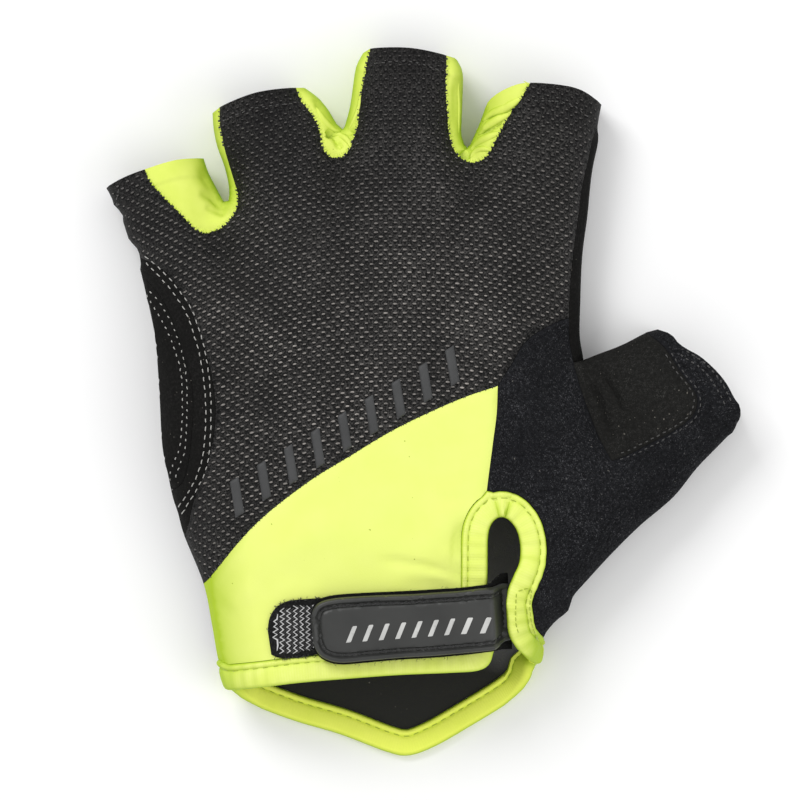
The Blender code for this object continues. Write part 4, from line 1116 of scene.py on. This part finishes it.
palm_tips = [
    trimmed(line(tip), start, end) for tip, start, end in (
        (LITTLE_TIP, 0.0, PALM_SEAM_INSET), (RING_TIP, PALM_SEAM_INSET, PALM_SEAM_INSET),
        (MIDDLE_TIP, PALM_SEAM_INSET, PALM_SEAM_INSET), (INDEX_TIP, PALM_SEAM_INSET, 0.0))]
palm_seams = []
for k, side_line in enumerate((LITTLE_RING_SIDE, RING_MIDDLE_SIDE, MIDDLE_INDEX_SIDE)):
    moved = side_offset(line(side_line, step=EDGE_STEP), -PALM_SEAM_INSET)
    moved = np.vstack([palm_tips[k][-1:], moved[4:-4], palm_tips[k + 1][:1]])
    palm_seams.append(resample(moved, LINE_STEP))


def panel(name, patches, wall, paint, step=GRID_STEP):
    """One sewn panel of the glove as a piece."""
    points, normals, faces = sheet(patches, step)
    return piece(name, *walled(points, normals, faces, wall), paints[paint])


def gusset(name, seam, side_line, palm_seam, start_tip, end_tip):
    """Gusset between two fingers: over the side from the back seam to the palm seam."""
    top = [line(seam)[::-1], start_tip[1:], line(side_line)[1:], end_tip[1:]]
    bottom = [line(side_line), palm_seam[::-1]]
    return panel(name, [(top, TOP), (bottom, BOTTOM)], GUSSET_WALL, "gusset", GUSSET_STEP)


mesh_outline = [
    line(LITTLE_SIDE, 3, 4), line(WRAP_SEAM), line(LITTLE_SIDE, 12, 15), line(LITTLE_TIP, 0, 2),
    line(LITTLE_RING_SEAM), line(RING_TIP, 1, 3), line(RING_MIDDLE_SEAM),
    line(MIDDLE_TIP, 1, 3), line(MIDDLE_INDEX_SEAM), line(INDEX_TIP, 3, 5),
    line(INDEX_SIDE, 0, 1), line(INDEX_STRIP_SEAM, 0, 6), line(KNIT_SEAM, 5, 0),
    line(BACK_SEAM, 6, 0)]
mesh = stands_for(panel("mesh_back", [(mesh_outline, TOP)], MESH_WALL, "mesh"),
                  "black_mesh", "back_mesh_panel")

stretch_outline = [
    line(LITTLE_SIDE, 1, 3), line(BACK_SEAM), line(THUMB_SEAM), slit_line[:split][::-1],
    cuff_line[::-1]]
stretch = stands_for(panel("stretch_back", [(stretch_outline, TOP)], STRETCH_WALL, "stretch",
                           FINE_GRID_STEP), "neon_stretch", "back_stretch_panel")

knit_outline = [
    line(KNIT_SEAM), line(INDEX_STRIP_SEAM, 6, 8), line(THUMB_VALLEY),
    line(THUMB_PATCH_SEAM, 10, 0), line(THUMB_UPPER_SIDE, 3, 4), line(THUMB_TIP),
    line(LOWER_SIDE, 0, 10), slit_line[split:][::-1], line(THUMB_SEAM, 4, 0)]
knit = stands_for(panel("knit_thumb", [(knit_outline, TOP)], KNIT_WALL, "knit"),
                  "black_knit", "thumb_knit_panel")

inner_thumb_outline = [
    line(THUMB_UPPER_SIDE, 0, 3), line(THUMB_PATCH_SEAM), line(THUMB_VALLEY, 4, 0)]
inner_thumb = stands_for(panel("suede_inner_thumb", [(inner_thumb_outline, TOP)], SUEDE_WALL,
                               "patch_suede", FINE_GRID_STEP), "black_suede", "thumb_patch")

palm_outline = [
    line(LITTLE_SIDE, 1, 6), line(PAD_SEAM), line(LITTLE_SIDE, 11, 15), palm_tips[0],
    palm_seams[0], palm_tips[1], palm_seams[1], palm_tips[2], palm_seams[2], palm_tips[3],
    line(INDEX_SIDE), line(THUMB_UPPER_SIDE), line(THUMB_TIP), line(LOWER_SIDE, 0, 10),
    palm_line[::-1]]
wrap_outline = [
    line(LITTLE_SIDE, 4, 6), line(PAD_SEAM), line(LITTLE_SIDE, 11, 12), line(WRAP_SEAM, 8, 0)]
strip_outline = [line(INDEX_SIDE, 1, 8), line(INDEX_STRIP_SEAM, 8, 0)]
palm_suede = stands_for(panel("suede_palm", [
    (palm_outline, BOTTOM), (wrap_outline, TOP), (strip_outline, TOP)], SUEDE_WALL, "suede"),
    "black_suede", "palm_panel")

pad = stands_for(panel("suede_edge_pad", [(pad_outline, TOP), (pad_outline, BOTTOM)],
                       PAD_WALL, "suede", FINE_GRID_STEP), "black_suede", "edge_pad")

gussets = [
    stands_for(gusset(name, seam, side_line, palm_seam, start_tip, end_tip), "neon_stretch", node)
    for palm_seam, (name, node, seam, side_line, start_tip, end_tip) in zip(palm_seams, (
        ("gusset_1", "gusset_little_ring", LITTLE_RING_SEAM, LITTLE_RING_SIDE,
         line(LITTLE_TIP, 2, 4), line(RING_TIP, 0, 1)),
        ("gusset_2", "gusset_ring_middle", RING_MIDDLE_SEAM, RING_MIDDLE_SIDE,
         line(RING_TIP, 3, 4), line(MIDDLE_TIP, 0, 1)),
        ("gusset_3", "gusset_middle_index", MIDDLE_INDEX_SEAM, MIDDLE_INDEX_SIDE,
         line(MIDDLE_TIP, 3, 4), line(INDEX_TIP, 0, 3))))]


# Binding tape. Section rows: across from the middle as a share of the width, height as
# a share of half the thickness.
TAPE_SECTION = [
    (-0.50, 0.0), (-0.485, 0.45), (-0.44, 0.80), (-0.34, 1.0), (-0.10, 1.05), (0.10, 0.98),
    (0.20, 0.80), (0.245, 0.62), (0.29, 0.80), (0.37, 1.0), (0.44, 0.85), (0.485, 0.45),
    (0.50, 0.0), (0.46, -0.75), (0.38, -1.0), (0.29, -0.80), (0.245, -0.62), (0.20, -0.80),
    (0.10, -1.0), (-0.30, -1.05), (-0.44, -0.8),
]
HALF_TAPE = 0.5 * max(MESH_WALL, SUEDE_WALL) + BINDING_COVER
TAPE_STEP = 0.00045
RAIL_PASSES = 12
TAPE_STITCH_SHARE = 0.245
PUCKER_PITCH = 0.0027
PUCKER_HEIGHT = 0.07


def rails_of(edge, inner, step):
    """Edge and inner line of a tape as equally many rows that run straight across it."""
    near = resample(edge, step)
    gap, segment, t = distance_to_line(near + BINDING_WIDTH * leftward(near), inner)
    lengths = lengths_along(inner)
    where = lengths[segment] + t * (lengths[segment + 1] - lengths[segment])
    where = np.maximum.accumulate(where)
    for _ in range(RAIL_PASSES):
        where[1:-1] = (where[:-2] + where[1:-1] + where[2:]) / 3.0
        where[0], where[-1] = 0.0, lengths[-1]
    return near, points_at(inner, lengths, where)


def slit_gathers():
    """Creases of the slit tape at its round top: where along it, how deep and how wide."""
    near, far = rails_of(slit_edge, slit_line, TAPE_STEP)
    middle = 0.5 * (near + far)
    along = lengths_along(middle)
    found = []
    for place, depth, width in (((498, 510), 0.75, 0.00045), ((506, 511), 0.85, 0.00045),
                                ((488, 512), 0.30, 0.0007), ((517, 519), 0.35, 0.0008)):
        gap = np.linalg.norm(middle - at(place), axis=1)
        found.append((along[int(gap.argmin())], depth, width))
    return found


def tape(name, edge, inner, side, gathers=(), paint="tape"):
    """Binding tape between the free edge and its inner line, puckered along its stitches."""
    rails = rails_of(edge, inner, TAPE_STEP)
    rings, coords = [], []
    heights = np.array([height for _, height in TAPE_SECTION])
    along = lengths_along(0.5 * (rails[0] + rails[1]))
    for k, (start, end) in enumerate(zip(*rails)):
        flat = np.array([start + (share + 0.5) * (end - start) for share, _ in TAPE_SECTION])
        outer, normals = form.surface(flat, side)
        swell = 1.0 + PUCKER_HEIGHT * math.sin(2.0 * math.pi * along[k] / PUCKER_PITCH)
        for where, depth, width in gathers:
            swell -= depth * math.exp(-((along[k] - where) / width) ** 2)
        levels = np.where(heights > 0.0, heights * swell, heights) * HALF_TAPE
        middle = 0.5 * MESH_WALL if side == TOP else HALF_TAPE
        ring = outer + (levels - middle)[:, None] * normals
        seam = SIDE_SEAM_HEIGHT + side * 0.0002
        ring[:, 2] = np.maximum(ring[:, 2], seam) if side == TOP else np.minimum(ring[:, 2], seam)
        rings.append(ring)
        coords += [(along[k], (share + 0.5) * BINDING_WIDTH) for share, _ in TAPE_SECTION]
    points, faces = loft(rings)
    return piece(name, points, faces, paints[paint], 60.0, coords)


back_tape = stands_for(tape("tape_cuff_back", cuff_edge, cuff_line, TOP),
                       "neon_tape", "cuff_binding_back")
slit_tape = stands_for(tape("tape_slit", slit_edge, slit_line, TOP, slit_gathers()),
                       "neon_tape", "slit_binding")
palm_tape = stands_for(tape("tape_cuff_palm", palm_edge, palm_line, BOTTOM, (), "palm_tape"),
                       "neon_tape", "cuff_binding_palm")


def slab(outline, low, high, step, edge=0.0006, profile=None, finished=False, rims=()):
    """Closed solid over the back between two heights above it, with a rounded upper edge."""
    reach_low, reach_high = outline.min(axis=0), outline.max(axis=0)
    closed = looped(outline)
    rim_rows = np.vstack([side_offset(closed, gap)
                          for gap in (0.12 * edge, 0.4 * edge, edge, *rims)])
    flat, faces = fill(outline, (rim_rows, grid_points(step, reach_low, reach_high)),
                       (0.25 * step if rims else step, step))
    depth = distance_to_line(flat, closed)[0]
    outer, normals = upper(flat, False) if finished else form.surface(flat, TOP, False)
    t = np.clip(depth / edge, 0.0, 1.0)
    share = 0.45 + 0.55 * np.sqrt(t * (2.0 - t))
    bottom = low(flat) if callable(low) else np.full(len(flat), low)
    thick = (high(flat) if callable(high) else np.full(len(flat), high)) - bottom
    top = bottom + thick * share + (profile(flat, depth) if profile else 0.0)
    return solid_between(outer + top[:, None] * normals, outer + bottom[:, None] * normals,
                         faces, edge_runs(faces)[0])


def strip_outline_of(rows, width, margin):
    """Plan outline of a strip whose rows give its middle and half width, left way round."""
    centres = np.array([plan(row) for row in rows])
    forward = (centres[-1] - centres[0]) / np.linalg.norm(centres[-1] - centres[0])
    left = np.array([-forward[1], forward[0]])
    reach = np.array([row[2] * width + margin for row in rows])[:, None] * left
    near = spline_parts(centres - reach, EDGE_STEP)
    far = spline_parts((centres + reach)[::-1], EDGE_STEP)
    return tidy(np.vstack(near + far))


# Closure: loop patch, textile layer and moulded strap, at the heights of the part's source
patch_low = LAYER_GAP
patch_high = patch_low + LOOP_PATCH_THICKNESS
seat = patch_high + LAYER_GAP
stack = BACKING_THICKNESS + LAYER_GAP + STRAP_END_THICKNESS
sunk = SLIT_BRIDGE_RISE - HALF_TAPE - 0.5 * MESH_WALL - 2 * LAYER_GAP - stack
strap_x = [row[0] * GLOVE_WIDTH for row in STRAP_ROWS]
strap_low = [seat + (sunk - seat) * row[4] for row in STRAP_ROWS]
strap_thick = [STRAP_END_THICKNESS + (STRAP_THICKNESS - STRAP_END_THICKNESS) * row[3]
               for row in STRAP_ROWS]


def backing_low(points):
    return np.interp(points[:, 0], strap_x, strap_low)


def backing_high(points):
    return backing_low(points) + BACKING_THICKNESS


def strap_under(points):
    return backing_high(points) + LAYER_GAP


def strap_over(points):
    return strap_under(points) + np.interp(points[:, 0], strap_x, strap_thick)


RIM_WIDTH = 0.00105
FACE_FROM = RIM_WIDTH + 0.0003
GROOVE_AT = 0.00185
GROOVE_HALF = 0.00050
GROOVE_ROWS = (-0.00055, -0.0003, 0.0003, 0.00055)
FACE_ENDS_AT = 0.0195
FACE_SINK = 0.00030
STRAP_GROOVE_DEPTH = 0.00075
RUBBER_END = 0.465
RUBBER_TAPER = 1.2
RUBBER_TAPER_FROM = 0.103


def strap_profile(points, depth):
    """Raised rim, sewn groove and level face of the strap; the face ends before the tape."""
    ended = ease(points[:, 0], FACE_ENDS_AT - 0.0015, FACE_ENDS_AT)
    groove = -STRAP_GROOVE_DEPTH * np.exp(-((depth - GROOVE_AT) / GROOVE_HALF) ** 4)
    face = -FACE_SINK * ease(depth, RIM_WIDTH, FACE_FROM)
    return (groove + face) * (1.0 - ended)


rubber_rows = [
    (x, y, min(half, RUBBER_END - (x - RUBBER_TAPER_FROM) * RUBBER_TAPER)
     if x > RUBBER_TAPER_FROM else half, *rest)
    for x, y, half, *rest in STRAP_ROWS]
strap_outline = strip_outline_of(rubber_rows, STRAP_WIDTH, 0.0)
strap = stands_for(piece("strap_rubber", *slab(
    strap_outline, strap_under, strap_over, 0.0007, 0.0005, strap_profile, False,
    (RIM_WIDTH, FACE_FROM, *(GROOVE_AT + gap for gap in GROOVE_ROWS))),
    paints["rubber"], 45.0), "grey_rubber", "closure_strap")
backing = stands_for(piece("strap_textile", *slab(
    strip_outline_of(STRAP_ROWS, STRAP_WIDTH, BACKING_MARGIN), backing_low, backing_high,
    0.0012, 0.0003), paints["backing"]), "black_backing", "strap_backing")
patch_outline = strip_outline_of(LOOP_PATCH_ROWS, LOOP_PATCH_WIDTH, 0.0)
loop_patch = stands_for(piece("loop_patch_base", *slab(
    patch_outline, patch_low, patch_high - 0.0003, 0.0008, 0.0003), paints["loop_base"]),
    "loop_knit", "loop_patch")


# A thread's width at its ends, and a stitch's points: where along it, and how many
# thicknesses above the cloth
PINCH = 0.35
STITCH_PLACES = (0.0, 0.18, 0.5, 0.82, 1.0)
STITCH_RISE = (-0.55, 0.15, 0.25, 0.15, -0.55)


class Bundle:
    """Many small closed solids that become one piece."""

    def __init__(self):
        self.points, self.faces, self.count = [], [], 0

    def add(self, points, faces):
        self.points.append(points)
        self.faces += [tuple(i + self.count for i in face) for face in faces]
        self.count += len(points)

    def tube(self, path, normals, radius, sides=6):
        """A thin tube along a path, pinched at both ends."""
        forward = unit(np.gradient(path, axis=0))
        across = unit(np.cross(forward, normals))
        turns = (np.arange(sides) * 2.0 * math.pi / sides)[:, None]
        sizes = np.full(len(path), radius)
        sizes[[0, -1]] *= PINCH
        self.add(*loft([
            place + size * (np.cos(turns) * side + np.sin(turns) * up)
            for place, size, side, up in zip(path, sizes, across, np.cross(across, forward))]))

    def make(self, name, paint):
        return piece(name, np.vstack(self.points), self.faces, paints[paint], 80.0)


def on_back(flat, lift):
    """Points a height above the finished back, and the normals there."""
    points, normals = upper(flat)
    return points + lift * normals, normals


def sew(bundle, run, length, pitch, thick, surface=on_back, wobble=None):
    """Stitches along a plan line: each rises out of the cloth and dives back into it."""
    along = lengths_along(run)
    starts = np.arange(0.3 * pitch, along[-1] - length, pitch)
    for start in starts:
        places = start + length * np.array(STITCH_PLACES)
        flat = points_at(run, along, places)
        if wobble:
            turn = np.array([[wobble.uniform(-1, 1), wobble.uniform(-1, 1)] for _ in range(2)])
            flat += (turn[0] * 0.05 + np.linspace(-0.09, 0.09, 5)[:, None] * turn[1]) * MM
        path, normals = surface(flat, 0.0)
        lift = thick * np.array(STITCH_RISE)
        bundle.tube(path + lift[:, None] * normals, normals, 0.5 * thick)


draw = random.Random(11)


def stitched(name, rows, paint):
    """Rows of stitches as one piece."""
    bundle = Bundle()
    for path, length, pitch, thick in rows:
        sew(bundle, pixel_line(path), length * MM, pitch * MM, thick * MM, wobble=draw)
    return bundle.make(name, paint)


grey_stitches = stitched("stitches_pad", PAD_STITCHES, "grey_thread")
dark_stitches = stitched("stitches_thumb_and_hems", THUMB_STITCHES + HEM_STITCHES, "dark_thread")


def scatter(name, points, normals, ways, sizes, paint, swell):
    """Many small spindles as one piece: where, which way up, along what and how big."""
    ways = unit(ways - (ways * normals).sum(axis=1)[:, None] * normals)
    across = np.cross(normals, ways)
    shape = [(-1.0, 0.0, -0.5)]
    for along, size in swell:
        shape += [(along, size, 0.0), (along, 0.0, size), (along, -size, 0.0), (along, 0.0, -0.6)]
    shape = np.array(shape + [(1.0, 0.0, -0.5)])
    faces, last = [], 4 * len(swell) - 3
    for i in range(4):
        j = (i + 1) % 4
        faces.append((0, 1 + j, 1 + i))
        for ring in range(1, last, 4):
            faces.append((ring + i, ring + j, ring + 4 + j, ring + 4 + i))
        faces.append((last + i, last + j, last + 4))
    solid = points[:, None, :]
    for k, axes in enumerate((ways, across, normals)):
        solid = solid + shape[None, :, k, None] * sizes[:, None, None, k] * axes[:, None, :]
    made = [tuple(int(i + first) for i in face)
            for first in np.arange(len(points)) * len(shape) for face in faces]
    return piece(name, solid.reshape(-1, 3), made, paints[paint], 80.0)


def within(places, outline, clear):
    """The places inside an outline and clear of its edge."""
    places = places[is_inside(places, outline)]
    return places[distance_to_line(places, looped(outline))[0] > clear]


def bars_on_mesh():
    """Yarn bars of the mesh, one at each place of its staggered rows."""
    outline = tidy(np.vstack(mesh_outline))
    low, high = outline.min(axis=0), outline.max(axis=0)
    rows = []
    seat_x, seat_y = SEAT[:2]
    top_row = high[1] + seat_y + ARCH * 0.085 ** 2
    for j in range(int((low[1] + seat_y) / ROW_PITCH) - 1, int(top_row / ROW_PITCH) + 2):
        shift = 0.5 * BAR_PITCH * (j % 2)
        x = np.arange(math.floor(low[0] / BAR_PITCH) * BAR_PITCH, high[0], BAR_PITCH) + shift
        y = j * ROW_PITCH - ARCH * (x - ARCH_CENTRE) ** 2
        rows.append(np.column_stack([x - seat_x, y - seat_y]))
    places = within(np.vstack(rows), outline, BAR_CLEAR)
    points, normals = upper(places)
    slope = -2.0 * ARCH * (places[:, 0] + seat_x - ARCH_CENTRE)
    ways = np.column_stack([np.ones(len(places)), slope, np.zeros(len(places))])
    vary = np.random.default_rng(5).uniform(0.8, 1.12, len(places))
    vary *= 0.60 + 0.40 * ease(-places[:, 1], -0.078, -0.045)
    sizes = vary[:, None] * np.array(BAR_SIZE)
    return scatter("mesh_yarn_bars", points, normals, ways, sizes, "bars",
                   ((-0.62, 0.75), (0.0, 1.0), (0.62, 0.75)))


TERRY_CLEAR = 0.0005


def terry(name, outline, step, size, paint, seed):
    """Short loops of a terry knit, strewn evenly and lying every way."""
    strewn = np.random.default_rng(seed)
    outline = tidy(np.vstack(outline))
    places = grid_points(step, outline.min(axis=0), outline.max(axis=0))
    places = places + strewn.uniform(-0.32, 0.32, places.shape) * step
    places = within(places, outline, TERRY_CLEAR)
    points, normals = upper(places)
    turn = strewn.uniform(0.0, math.pi, len(places))
    ways = np.column_stack([np.cos(turn), np.sin(turn), np.zeros(len(places))])
    sizes = strewn.uniform(0.7, 1.25, (len(places), 1)) * np.array(size)
    return scatter(name, points, normals, ways, sizes, paint, ((-0.45, 0.9), (0.45, 0.9)))


yarn_bars = bars_on_mesh()
knit_loops = terry("knit_terry_loops", knit_outline, 0.00056, (0.00032, 0.00015, 0.00019),
                   "tufts", 3)
patch_nap = terry("thumb_suede_nap", inner_thumb_outline, 0.00050, (0.00026, 0.00010, 0.00008),
                  "patch_tufts", 4)


def rubber_bars(name, bars, thick, base, paint, finished):
    """A row of plain slanted bars, laid on the mesh or on the strap."""
    begin, end, count, length, width, lean = bars
    bundle = Bundle()
    run = np.linspace(at(begin), at(end), count)
    along = (run[-1] - run[0]) / np.linalg.norm(run[-1] - run[0])
    turn = math.radians(lean)
    tall = np.array([along[0] * math.cos(turn) - along[1] * math.sin(turn),
                     along[0] * math.sin(turn) + along[1] * math.cos(turn)])
    wide = width * MM / math.sin(turn) * along
    for middle in run:
        corners = [middle + 0.5 * (a * length * MM * tall + b * wide)
                   for a, b in ((-1, -1), (-1, 1), (1, 1), (1, -1))]
        outline = tidy(resample(np.array(corners + corners[:1]), 0.0004))
        low = base if callable(base) else (lambda points: np.full(len(points), base))
        bundle.add(*slab(outline, low, lambda p: low(p) + thick, 0.0007, 0.0002, None, finished))
    return bundle.make(name, paint)


mesh_print = rubber_bars("print_on_mesh", MESH_BARS, 0.00035, 0.00005, "print", True)
rubber_bars("print_on_strap", STRAP_BARS, 0.00012, lambda p: strap_over(p) - 0.00026,
            "pale_print", False)


# Tape stitches and the overcast threads of the seams
def tape_surface(side, face):
    """Where the outer or inner face of the tape lies at a plan point."""
    top = face * HALF_TAPE * 0.62 - (0.5 * MESH_WALL if side == TOP else HALF_TAPE)

    def place(flat, lift):
        outer, normals = form.surface(flat, side)
        return outer + (face * lift + top) * normals, face * normals
    return place


neon_rows = Bundle()
for edge, inner, side, face in (
        (cuff_edge, cuff_line, TOP, 1), (slit_edge, slit_line, TOP, 1),
        (palm_edge, palm_line, BOTTOM, 1), (palm_edge, palm_line, BOTTOM, -1)):
    rails = rails_of(edge, inner, 0.0006)
    run = rails[0] + (0.5 + TAPE_STITCH_SHARE) * (rails[1] - rails[0])
    sew(neon_rows, run, 0.0016, 0.0024, 0.00026, surface=tape_surface(side, face), wobble=draw)
for bartack in ([(515, 590), (529, 588), (528, 606), (530, 624), (535, 640)],
                [(515, 590), (514, 606), (514, 622), (517, 636)]):
    sew(neon_rows, pixel_line(bartack, 0.0005), 0.0011, 0.0014, 0.00024,
        surface=tape_surface(TOP, 1.68))
neon_stitches = neon_rows.make("stitches_tape", "neon_thread")


THIN_CLOTH = 0.0009


def teeth(bundle, seam, pitch, inner, outer, thick, lift):
    """Overcast threads across a seam, from the outer reach on its right to the inner one."""
    places = resample(line(seam, step=0.0005), pitch)
    outward = leftward(places)
    for k, place in enumerate(places[1:-1], start=1):
        ends = np.array([-outer * draw.uniform(0.3, 1.0), 0.25 * inner,
                         inner * draw.uniform(0.8, 1.1)])
        slide = draw.uniform(-0.42, 0.42) * pitch * np.array([-outward[k][1], outward[k][0]])
        flat = place + slide + ends[:, None] * outward[k]
        if form.inset(flat)[0].min() < THIN_CLOTH:
            continue
        path, normals = on_back(flat, lift)
        path[0] -= 0.4 * thick * normals[0]
        path[2] -= 0.5 * thick * normals[2]
        bundle.tube(path, normals, 0.5 * thick * draw.uniform(0.85, 1.15), 5)


neon_teeth, black_teeth = Bundle(), Bundle()
for seam in (LITTLE_RING_SEAM, RING_MIDDLE_SEAM, MIDDLE_INDEX_SEAM):
    teeth(neon_teeth, seam, 0.00068, 0.0015, 0.00030, 0.00036, 0.0)
    teeth(neon_teeth, seam, 0.00105, 0.0005, 0.00040, 0.00072, 0.0)
    teeth(black_teeth, seam, 0.00115, 0.00036, 0.0003, 0.00055, 0.00008)
teeth(black_teeth, BACK_SEAM, 0.0008, 0.0007, 0.00045, 0.0004, 0.00004)
toothed_neon = neon_teeth.make("gusset_seam_overcast", "gusset")
toothed_black = black_teeth.make("back_seam_overcast", "black_yarn")

# Rolled folds of the gussets. Rows: path in pixels, half width and height in millimetres.
FOLDS_2 = [
    ([(317, 106), (325, 119), (334, 127), (341, 130)], 1.0, 0.75),
    ([(335, 131), (341, 134), (347, 139), (350, 146)], 0.9, 1.0),
    ([(358, 88), (358, 102), (354, 116), (348, 128)], 0.8, 0.5),
]
FOLDS_3 = [
    ([(521, 97), (507, 106), (492, 113), (484, 121)], 1.15, 0.9),
    ([(510, 112), (499, 118), (488, 125), (479, 134)], 1.15, 0.9),
    ([(499, 131), (488, 136), (478, 141), (470, 149)], 1.15, 1.0),
    ([(490, 149), (482, 148), (475, 150), (470, 156)], 0.85, 0.8),
    ([(459, 82), (460, 106), (459, 132)], 0.7, 0.35),
]
FOLD_SIDES = 10
FOLD_SINK = 0.35


def folds(name, rows):
    """Rolls of gathered cloth that taper out at both ends."""
    bundle = Bundle()
    for path, half, height in rows:
        run = pixel_line(path, 0.0004)
        points, normals = upper(run)
        across = np.cross(unit(np.gradient(points, axis=0)), normals)
        share = np.linspace(0.0, 1.0, len(run))
        size = np.sqrt(np.clip(np.sin(math.pi * share), 0.02, 1.0))
        turns = np.arange(FOLD_SIDES) * 2.0 * math.pi / FOLD_SIDES
        rings = [points[k] + size[k] * MM * (half * np.cos(turns)[:, None] * across[k]
                 + height * (np.sin(turns) - FOLD_SINK)[:, None] * normals[k])
                 for k in range(len(run))]
        bundle.add(*loft(rings))
    return bundle.make(name, "gusset")


folds_2 = folds("gusset_2_folds", FOLDS_2)
folds_3 = folds("gusset_3_folds", FOLDS_3)

def loose_fibre(start, shortest, longest, bend):
    """Three plan points of a bent fibre that lies any way, and the back below them."""
    turn = draw.uniform(0.0, 2.0 * math.pi)
    reach = draw.uniform(shortest, longest) * MM
    way = turned(turn)
    swing = np.array([-way[1], way[0]]) * draw.uniform(-bend, bend)
    flat = start + reach * (np.array([0.0, 0.5, 1.0])[:, None] * way
                            + np.array([0.0, 1.0, 0.0])[:, None] * swing)
    return flat, *form.surface(flat, TOP, False)


# Loop patch: white zigzag yarn over the black base, black threads at its cut edge
ZIGZAG_PITCH = 0.00150
ZIGZAG_STEP = 0.00062
ZIGZAG_SWING = 0.00048
ZIGZAG_RADIUS = 0.00021
EDGE_THREADS = 260
white, black = Bundle(), Bundle()
low, high = patch_outline.min(axis=0), patch_outline.max(axis=0)
visible_to = at((338, 0))[0]
for x in np.arange(low[0] + 0.0019, visible_to, ZIGZAG_PITCH):
    y = np.arange(low[1], high[1], ZIGZAG_STEP)
    swing = ZIGZAG_SWING * np.where(np.arange(len(y)) % 2, 1.0, -1.0)
    swing *= np.array([draw.uniform(0.7, 1.2) for _ in y])
    flat = np.column_stack([x + swing, y + np.array([draw.uniform(-0.1, 0.1) * MM for _ in y])])
    flat = within(flat, patch_outline, 0.0010)
    if len(flat) < 4:
        continue
    outer, normals = form.surface(flat, TOP, False)
    path = outer + (patch_high - 0.00022) * normals
    white.tube(path, normals, ZIGZAG_RADIUS, 5)
    path = path + np.array([0.5 * ZIGZAG_PITCH, 0.0, -0.00002])
    black.tube(path, normals, ZIGZAG_RADIUS, 5)
for _ in range(EDGE_THREADS):
    start = patch_outline[draw.randrange(len(patch_outline))]
    if start[0] > visible_to:
        continue
    _, outer, normals = loose_fibre(start, 0.3, 0.8, 0.3)
    lift = patch_high * np.array([0.7, 1.0, 0.5]) * draw.uniform(0.5, 1.15)
    black.tube(outer + lift[:, None] * normals, normals, draw.uniform(0.06, 0.14) * MM, 5)
loop_yarn = white.make("loop_patch_white_yarn", "white_yarn")
edge_yarn = black.make("loop_patch_black_yarn", "black_yarn")

# Sewn groove of the strap
groove_rows = Bundle()
groove = side_offset(looped(strap_outline), GROOVE_AT)
groove = groove[groove[:, 0] < FACE_ENDS_AT]
first = int(groove[:, 0].argmax())
groove = np.vstack([groove[first:], groove[:first]])


def groove_place(flat, lift):
    """Points at the bottom of the strap's groove, and the normals there."""
    outer, normals = form.surface(flat, TOP, False)
    return outer + (strap_over(flat) - 0.00085 + lift)[:, None] * normals, normals


gaps = np.linalg.norm(np.diff(groove, axis=0), axis=1)
for run in np.split(groove, np.where(gaps > 0.004)[0] + 1):
    if len(run) > 6:
        sew(groove_rows, run, 0.0013, 0.0017, 0.00040, surface=groove_place)
groove_rows.make("stitches_strap", "black_yarn")

# Fine hairs that the strap's textile has pulled up along both sides
HAIRS = 90
hairs = Bundle()
side_run = strip_outline_of(STRAP_ROWS, STRAP_WIDTH, BACKING_MARGIN)
for _ in range(HAIRS):
    start = side_run[draw.randrange(len(side_run))]
    if start[1] > at(STRAP_MIDDLE)[1] and draw.random() < 0.6:
        continue
    flat, outer, normals = loose_fibre(start, 0.4, 1.1, 0.5)
    lift = backing_low(flat) + np.array([0.0004, 0.0006, 0.0]) * draw.uniform(0.4, 1.0)
    hairs.tube(outer + lift[:, None] * normals, normals, 0.00005, 4)
strap_hairs = hairs.make("strap_loose_fibres", "black_yarn")


# Stage
FLOOR_HALF = 3.0
floor_mesh = bpy.data.meshes.new("floor")
floor_mesh.from_pydata([(x * FLOOR_HALF, y * FLOOR_HALF, -0.0001)
                        for x, y in ((-1, -1), (1, -1), (1, 1), (-1, 1))], [], [(0, 1, 2, 3)])
floor = bpy.data.objects.new("floor", floor_mesh)
bpy.context.scene.collection.objects.link(floor)
floor_paint = Paint("pale_floor", Roughness=0.9, Base_Color=(0.96, 0.96, 0.96, 1.0))
floor_mesh.materials.append(floor_paint.material)

scene = bpy.context.scene
scene.view_settings.view_transform = "Standard"
world = bpy.data.worlds.new("studio")
world.use_nodes = True
background = world.node_tree.nodes["Background"]
background.inputs["Color"].default_value = (1.0, 1.0, 1.0, 1.0)
background.inputs["Strength"].default_value = 0.80
scene.world = world


def area_light(name, place, size, power):
    """A soft square light that looks at the glove."""
    light = bpy.data.lights.new(name, "AREA")
    light.shape = "SQUARE"
    light.size = size
    light.energy = power
    made = bpy.data.objects.new(name, light)
    made.location = place
    made.rotation_euler = (-Vector(place)).to_track_quat("-Z", "Y").to_euler()
    scene.collection.objects.link(made)


area_light("key", (-0.55, 0.75, 0.95), 0.55, 7.0)
area_light("fill", (0.9, -0.3, 0.8), 0.8, 2.5)

PHOTO_PIXELS = 800.0
FRAME_WIDTH = PHOTO_PIXELS / PIXELS_WIDE * GLOVE_WIDTH
LEVEL_AT_SCALE = 0.014
LENS = 400.0
SENSOR = 36.0
lens = bpy.data.cameras.new("photo_camera")
lens.lens = LENS
lens.sensor_width = SENSOR
lens.clip_start = 0.05
camera = bpy.data.objects.new("photo_camera", lens)
middle = at((0.5 * PHOTO_PIXELS, 0.5 * PHOTO_PIXELS)) + np.array(SEAT[:2])
camera.location = (middle[0], middle[1], LENS / SENSOR * FRAME_WIDTH + LEVEL_AT_SCALE)
scene.collection.objects.link(camera)
scene.camera = camera
